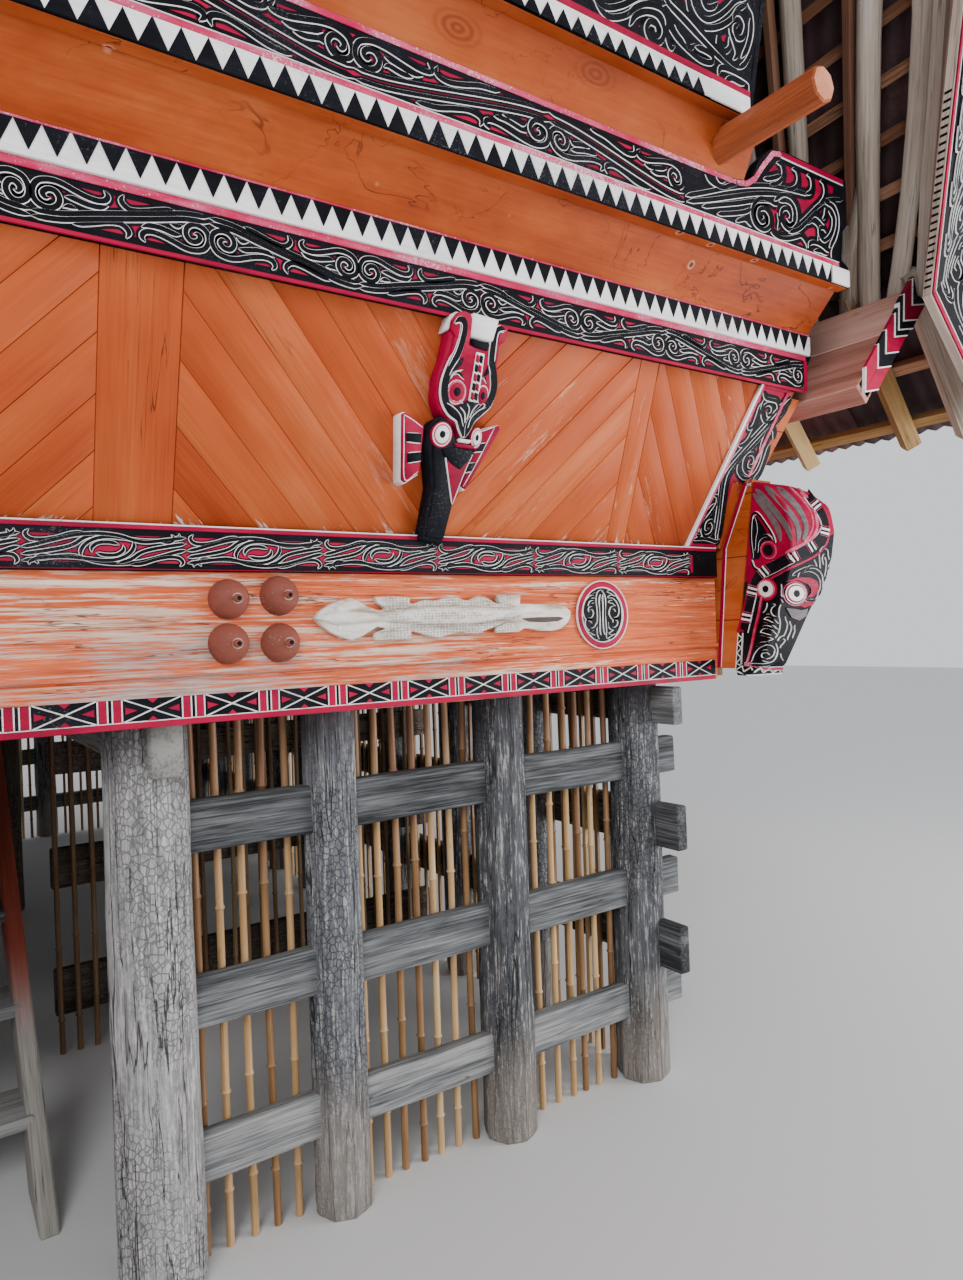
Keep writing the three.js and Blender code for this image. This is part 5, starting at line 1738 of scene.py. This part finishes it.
def beam_head():
    work = Carving(head_lay)
    outward = Vector((-0.81, -0.59, 0))

    def line(points, width, tint=DARK, sides=PALE, relief=0.004, tapered=True, per=5):
        work.vine(head_drawn(points), width, tapered, per, relief, tint, sides)

    def area(points, tint, lift=0.002):
        bm = started()
        bm.faces.new([bm.verts.new(head_lay(*spot, lift)) for spot in head_drawn(points)])
        facing(bm, outward)
        drawn = bmesh.ops.extrude_face_region(bm, geom=bm.faces[:])["geom"]
        bmesh.ops.translate(bm, verts=points_in(drawn), vec=outward * 0.0022)
        bmesh.ops.recalc_face_normals(bm, faces=bm.faces)
        work.add(bm, tint)

    outline = [(-0.3252, 2.262), *reversed(NOSE), (-0.2855, 1.5305)]
    base = slab([(head_left(z), y, z) for y, z in outline], (0.28, 0, 0), 0.005)
    for spot, away in (((2.92, 0, 2.265), (0.78, 0, 0.62)), ((2.892, 0, 1.825), (0.949, 0, -0.316)),
                       ((2.892, 0, 1.825), (0.943, 0, -0.333))):
        sliced(base, spot, away, True)
        closed(base)
    marks = [Vector(head_lay(*spot, 0)) for spot in head_drawn(((300, 815), (478, 715), (835, 520)))]
    across = (marks[1] - marks[0]).cross(marks[2] - marks[0]).normalized()
    across *= 1 if across.z < 0 else -1
    sliced(base, marks[0], across)
    for face in base.faces:
        face.material_index = DARK if (face.calc_center_median() - marks[0]).dot(across) > 0 else RED
    work.add(base, None)

    work.lay = lambda y, z, height: (2.65 + 0.1122 * (z - 1.557) - height, y, z)
    back, low, bend, top = -0.2005, 1.56, 2.02, 2.262
    edge = ((back, low), (back, bend), (-0.286, top), (-0.323, top))
    for reach, tint in ((0.016, RED), (0.003, PALE)):
        inner = ((edge[0][0] - reach, low), (edge[1][0] - reach, bend), (edge[2][0] - reach, top - reach),
                 (-0.323, top - reach))
        for a, b, c, d in zip(inner, edge, edge[1:], inner[1:]):
            work.patch((a, b, c, d), tint, 0.003)
        edge = inner
    work.lay = head_lay

    area(((292, 700), (284, 560), (296, 440), (330, 410), (372, 470), (420, 560), (372, 600), (340, 690)), DARK, 0.001)
    area(((286, 690), (266, 830), (236, 960), (204, 1080), (176, 1172), (226, 1172), (262, 1000), (288, 890),
          (318, 820), (300, 760)), RED)
    for stripe in (((312, 262), (372, 330), (430, 410), (474, 490), (488, 570)),
                   ((330, 230), (410, 314), (480, 396), (540, 480), (566, 560)),
                   ((392, 204), (464, 270), (534, 340), (596, 425), (616, 500), (604, 566)),
                   ((470, 200), (550, 262), (620, 335), (664, 420), (668, 490), (640, 556))):
        line(stripe, 0.029, GREY, GREY, 0.003)
    line(((560, 186), (644, 262), (706, 344), (724, 430), (700, 506), (650, 562)), 0.010, PINK, PINK, 0.003)
    line(((622, 190), (712, 290), (752, 400), (742, 490), (690, 552), (600, 606), (520, 650)), 0.016, PINK, PINK, 0.003)
    ribbon = ((680, 220), (716, 266), (780, 345), (812, 430), (792, 505), (736, 570), (640, 635), (540, 688),
              (450, 738), (372, 778), (320, 832), (290, 920), (266, 1010), (246, 1090), (226, 1165))
    line(ribbon, 0.046, tapered=False, per=4)
    line(((846, 470), (826, 560), (760, 640), (650, 702), (540, 752), (450, 800), (396, 832), (372, 868)), 0.009, RED,
         PINK)
    line(((352, 930), (326, 1050), (296, 1160), (268, 1280), (238, 1378)), 0.014, PINK, RED, tapered=False)
    for px, py, turn in ((745, 300, 50), (806, 480, 100), (704, 594, 148), (572, 672, 153), (372, 778, 140),
                         (292, 906, 105), (250, 1080, 103)):
        ahead, aside = cos(radians(turn)), sin(radians(turn))
        for step, tint, wide in ((-15, PALE, 0.0105), (15, PALE, 0.0105), (34, PINK, 0.004), (-34, PINK, 0.004)):
            ends = [(px + ahead * step - aside * k, py + aside * step + ahead * k) for k in (-33, 33)]
            line(ends, wide, tint, tint, 0.0058, False, 2)
    for points in (((302, 690), (290, 560), (300, 430), (318, 394), (345, 396), (388, 452), (432, 520), (456, 580)),
                   ((334, 650), (336, 588), (362, 548), (402, 536), (442, 566)), ((292, 700), (304, 750), (340, 772)),
                   ((322, 420), (330, 500), (318, 560), (312, 640))):
        line(points, 0.013)
    for px, py, rings in (
        (406, 632, ((58, 62, PINK, 0.002), (46, 50, RED, 0.004), (34, 38, DARK, 0.0055))),
        (382, 893, ((74, 78, RED, 0.002), (62, 64, PINK, 0.004), (50, 53, PALE, 0.0055), (21, 23, DARK, 0.0075))),
        (577, 925, ((88, 86, PINK, 0.002), (80, 78, DARK, 0.003), (74, 71, PALE, 0.0045), (67, 64, RED, 0.006),
                    (58, 53, PALE, 0.0075), (22, 25, DARK, 0.009))),
    ):
        for wide, tall, tint, lift in rings:
            area([(px + wide * cos(k * pi / 10), py + tall * sin(k * pi / 10)) for k in range(20)], tint, lift)
    area(((520, 842), (600, 812), (690, 812), (742, 840), (752, 880), (736, 925), (700, 950), (664, 952), (690, 920),
          (694, 890), (668, 858), (600, 832)), RED)
    area(((600, 1006), (650, 985), (728, 968), (704, 1004), (640, 1022)), RED)
    area(((508, 1022), (560, 1028), (616, 1040), (664, 1030), (652, 1080), (600, 1112), (545, 1090)), GREY, 0.003)
    strands = (
        ((600, 812), (626, 778), (688, 760), (742, 786), (768, 832), (766, 890), (748, 945)),
        ((640, 776), (690, 738), (752, 748), (786, 796), (786, 850)), ((560, 800), (610, 770), (680, 740)),
        ((748, 762), (742, 712), (722, 684)), ((770, 780), (772, 720), (770, 640), (800, 598), (832, 610), (838, 680)),
        ((792, 840), (812, 770), (820, 700), (806, 655), (792, 668), (794, 720)), ((820, 760), (836, 720)),
        ((740, 945), (756, 910), (778, 880)), ((485, 860), (478, 930), (488, 985)),
        ((640, 965), (680, 975), (724, 968)),
        ((472, 1000), (462, 1062), (470, 1120), (460, 1180), (430, 1230), (380, 1252), (320, 1276), (282, 1320),
         (264, 1372)),
        ((442, 998), (414, 1010), (402, 1050), (424, 1082), (456, 1090)),
        ((456, 1128), (420, 1080), (376, 1072), (352, 1100), (386, 1112), (426, 1136), (450, 1166)),
        ((448, 1202), (400, 1154), (350, 1150), (326, 1185), (366, 1200), (406, 1216), (430, 1240)),
        ((300, 1272), (342, 1256), (400, 1264), (426, 1302), (410, 1350), (366, 1370), (332, 1350), (336, 1316),
         (370, 1310), (386, 1335)),
        ((262, 1392), (300, 1396), (352, 1400), (410, 1386), (440, 1342), (446, 1290), (430, 1260)),
        ((440, 1242), (480, 1222), (500, 1242), (482, 1272), (456, 1292)),
        ((500, 1080), (520, 1132), (506, 1190), (480, 1232)), ((530, 1112), (548, 1152), (535, 1200), (510, 1242)),
        ((566, 1140), (570, 1190), (548, 1232)), ((384, 985), (370, 1020), (352, 1050)), ((460, 1330), (480, 1380)),
    )
    for points in strands:
        line(points, 0.0125)
    line(((222, 1384), (280, 1396), (350, 1424), (470, 1432)), 0.014, PINK, tapered=False)
    for backing in (((188, 1182), (218, 1180), (202, 1390), (165, 1412)),
                    ((166, 1404), (318, 1404), (268, 1440), (224, 1461), (164, 1424)),
                    ((324, 1402), (470, 1398), (470, 1462), (228, 1464), (270, 1442))):
        area(backing, DARK, 0.001)
    rows = (((170, 1416), (205, 1394), (215, 1432), (265, 1406), (275, 1444), (325, 1416), (335, 1452), (385, 1422),
             (400, 1458), (450, 1430), (456, 1460)),
            ((190, 1190), (214, 1216), (182, 1250), (206, 1276), (176, 1310), (202, 1340), (168, 1376), (198, 1390)),
            ((188, 1182), (164, 1422), (226, 1460), (300, 1462), (462, 1464)), ((216, 1180), (200, 1384)))
    for points in rows:
        for ends in zip(points, points[1:]):
            line(ends, 0.006, PALE, tapered=False, per=2)
    return work


pair("beam_head_carving", beam_head(), [crimson, black, white, rose, grey_stripe],
     ["beam_head"])

# Stair and floor

RISE, GOING = 0.259, 0.254  # of one step


def stair():
    work = Work()
    slope = RISE / GOING
    foot, wide, top = 0.38, 0.055, 1.552
    for x in (-0.380, 0.380 - wide):
        outline = ((x, foot, 0.0), (x, foot + 0.19 * hypot(1, slope) / slope, 0.0), (x, 1.9496, 1.436),
                   (x, 1.9496, top), (x, foot + 6 * GOING - 0.03, top))
        work.add(slab(outline, (wide, 0, 0), 0.006), 0, (0, 0.7, 0.71))
    for step in range(1, 6):
        y = foot + GOING * step - 0.02
        tread = block((-0.345, 0.345), (y, y + 0.23), (RISE * step - 0.04, RISE * step), 0.006, 6, 0.002, 2)
        work.add(tread, 1, (1, 0, 0))
    return work


def floor_boards(x0, x1, y0, y1):
    work = Work()
    count = round((x1 - x0) / 0.19)
    for k in range(count):
        left, right = (x0 + (x1 - x0) * step / count for step in (k, k + 1))
        height = (1.5152, 1.555 - draw.uniform(0, 0.002))
        work.add(block((left + 0.001, right - 0.001), (y0, y1), height, 0.003), 0, (0, 1, 0))
    return work


piece("stair_flight", stair(), [stair_paint, fence_wood], ["stair"])
hatch, front, rear = 0.4996, -0.0496, 6.4496
pair("side_floor_boards", floor_boards(0.5, 2.86, front, rear), [floor_wood], ["floor_side"])
piece("front_floor_boards", floor_boards(-hatch, hatch, front, 0.75), [floor_wood], ["floor_front"])
piece("rear_floor_boards", floor_boards(-hatch, hatch, 1.95, rear), [floor_wood], ["floor_rear"])

# Front verge boards, carved, which run from the eave over the bend to the ridge

VERGE_OUT = (Vector((3.95, -0.8, 2.5696)), Vector((3.42, -0.8, 3.0996)), Vector((0.0004, -3.33, 8.4996)))
VERGE_IN = (Vector((3.7096, -0.8, 2.3296)), Vector((3.1528, -0.8, 2.8864)), Vector((0.0004, -3.33, 7.8645)))
TAIL, LONG = 0.75, 6.87  # lengths below and above the bend


def on_verge(along, across, height):
    """A point on the board, from metres along it and metres in from its lower edge."""
    k, share = (0, along / TAIL) if along < TAIL else (1, (along - TAIL) / LONG)
    low = VERGE_IN[k].lerp(VERGE_IN[k + 1], share)
    high = VERGE_OUT[k].lerp(VERGE_OUT[k + 1], share)
    at = low.lerp(high, across / 0.34)
    return (at.x, at.y - height, at.z)


VERGE_CELL = (
    ((0.040, 0.088), (0.004, 0.098), (-0.008, 0.122), (0.012, 0.146), (0.060, 0.150), (0.115, 0.172), (0.150, 0.215),
     (0.170, 0.262)),
    ((0.058, 0.086), (0.026, 0.098), (0.018, 0.116), (0.036, 0.130), (0.080, 0.130), (0.135, 0.148), (0.178, 0.190),
     (0.204, 0.240), (0.216, 0.284)),
    ((0.080, 0.086), (0.050, 0.096), (0.044, 0.108), (0.058, 0.114), (0.100, 0.112), (0.150, 0.122), (0.196, 0.158)),
    ((0.120, 0.206), (0.084, 0.184), (0.044, 0.190), (0.024, 0.222), (0.038, 0.256), (0.074, 0.264), (0.096, 0.240),
     (0.082, 0.216), (0.060, 0.224)),
    ((0.004, 0.176), (0.012, 0.216), (0.004, 0.250), (0.030, 0.284), (0.070, 0.288), (0.110, 0.276)),
    ((0.120, 0.290), (0.136, 0.262), (0.128, 0.236)),
)


def verge_carving():
    board = Carving(on_verge)
    for k in (0, 1):
        corners = (VERGE_IN[k], VERGE_IN[k + 1], VERGE_OUT[k + 1], VERGE_OUT[k])
        board.add(slab(corners, (0, 0.0345, 0), 0.002), 4, VERGE_IN[k + 1] - VERGE_IN[k])
    middle, end = TAIL + LONG * 0.5, TAIL + LONG
    for start, stop in ((0.0, TAIL - 0.001), (TAIL + 0.001, middle), (middle, end - 0.02)):
        for low, high, tint, lift in ((0.004, 0.024, CRIMSON, 0.006), (0.024, 0.0275, WHITE, 0.008),
                                      (0.0275, 0.3045, BLACK, 0.002), (0.3045, 0.308, WHITE, 0.008),
                                      (0.308, 0.334, CRIMSON, 0.006)):
            board.strip(start, stop, low, high, tint, lift)
    # painted shade: small black marks on the board's inner edge, above the bend, stand for the shade in its notches
    for row in range(26):
        low, high = (VERGE_IN[1].lerp(VERGE_IN[2], (0.03 + row * 0.026 + k) / LONG) for k in (0.0, 0.009))
        front, back = Vector((-0.0006, 0.006, 0)), Vector((-0.0006, 0.030, 0))
        board.add(slab([low + front, high + front, high + back, low + back], (0.0005, 0, 0), 0.0), BLACK)
    at = -0.03
    while at < end - 0.30:
        for points in VERGE_CELL:
            moved = [(at + along, across - (0.012 if at + along < TAIL else 0.0)) for along, across in points]
            if moved[0][0] > 0.0 and moved[-1][0] > 0.0:
                board.vine(moved, 0.0165, per=3, relief=0.005)
        for along, across in ((0.168, 0.100), (0.0, 0.274), (0.132, 0.190)):
            spot = at + along
            if spot > 0.02:
                board.field(((spot, across), (spot + 0.022, across - 0.003), (spot + 0.012, across + 0.014)), CRIMSON,
                            0.0016)
        at += 0.176
    return board


def ridge_cap():
    work = Work()
    path = [roof_point(2, 0.0085 + 0.983 * k / 40, -0.03) for k in range(41)]
    for spot in path:
        spot.x = 0
    work.add(tube(path, 0.045, 10))
    return work


def studio_floor():
    ground = bmesh.new()
    bmesh.ops.create_grid(ground, x_segments=1, y_segments=1, size=30)
    bmesh.ops.translate(ground, verts=ground.verts, vec=(0, 0, -0.001))
    sheet = bpy.data.meshes.new("studio_floor")
    ground.to_mesh(sheet)
    ground.free()
    studio = Finish("studio floor")
    studio.surface(Base_Color=(0.62, 0.62, 0.62, 1), Roughness=0.9)
    sheet.materials.append(studio.material)
    made = bpy.data.objects.new("studio_floor", sheet)
    bpy.context.scene.collection.objects.link(made)
    return made


pair("verge_carving", verge_carving(), [*carving_paints, bare_pole], ["front_verge_board"], 0)
piece("ridge_cap", ridge_cap(), [roof_sheet], (), 50)
studio_floor()
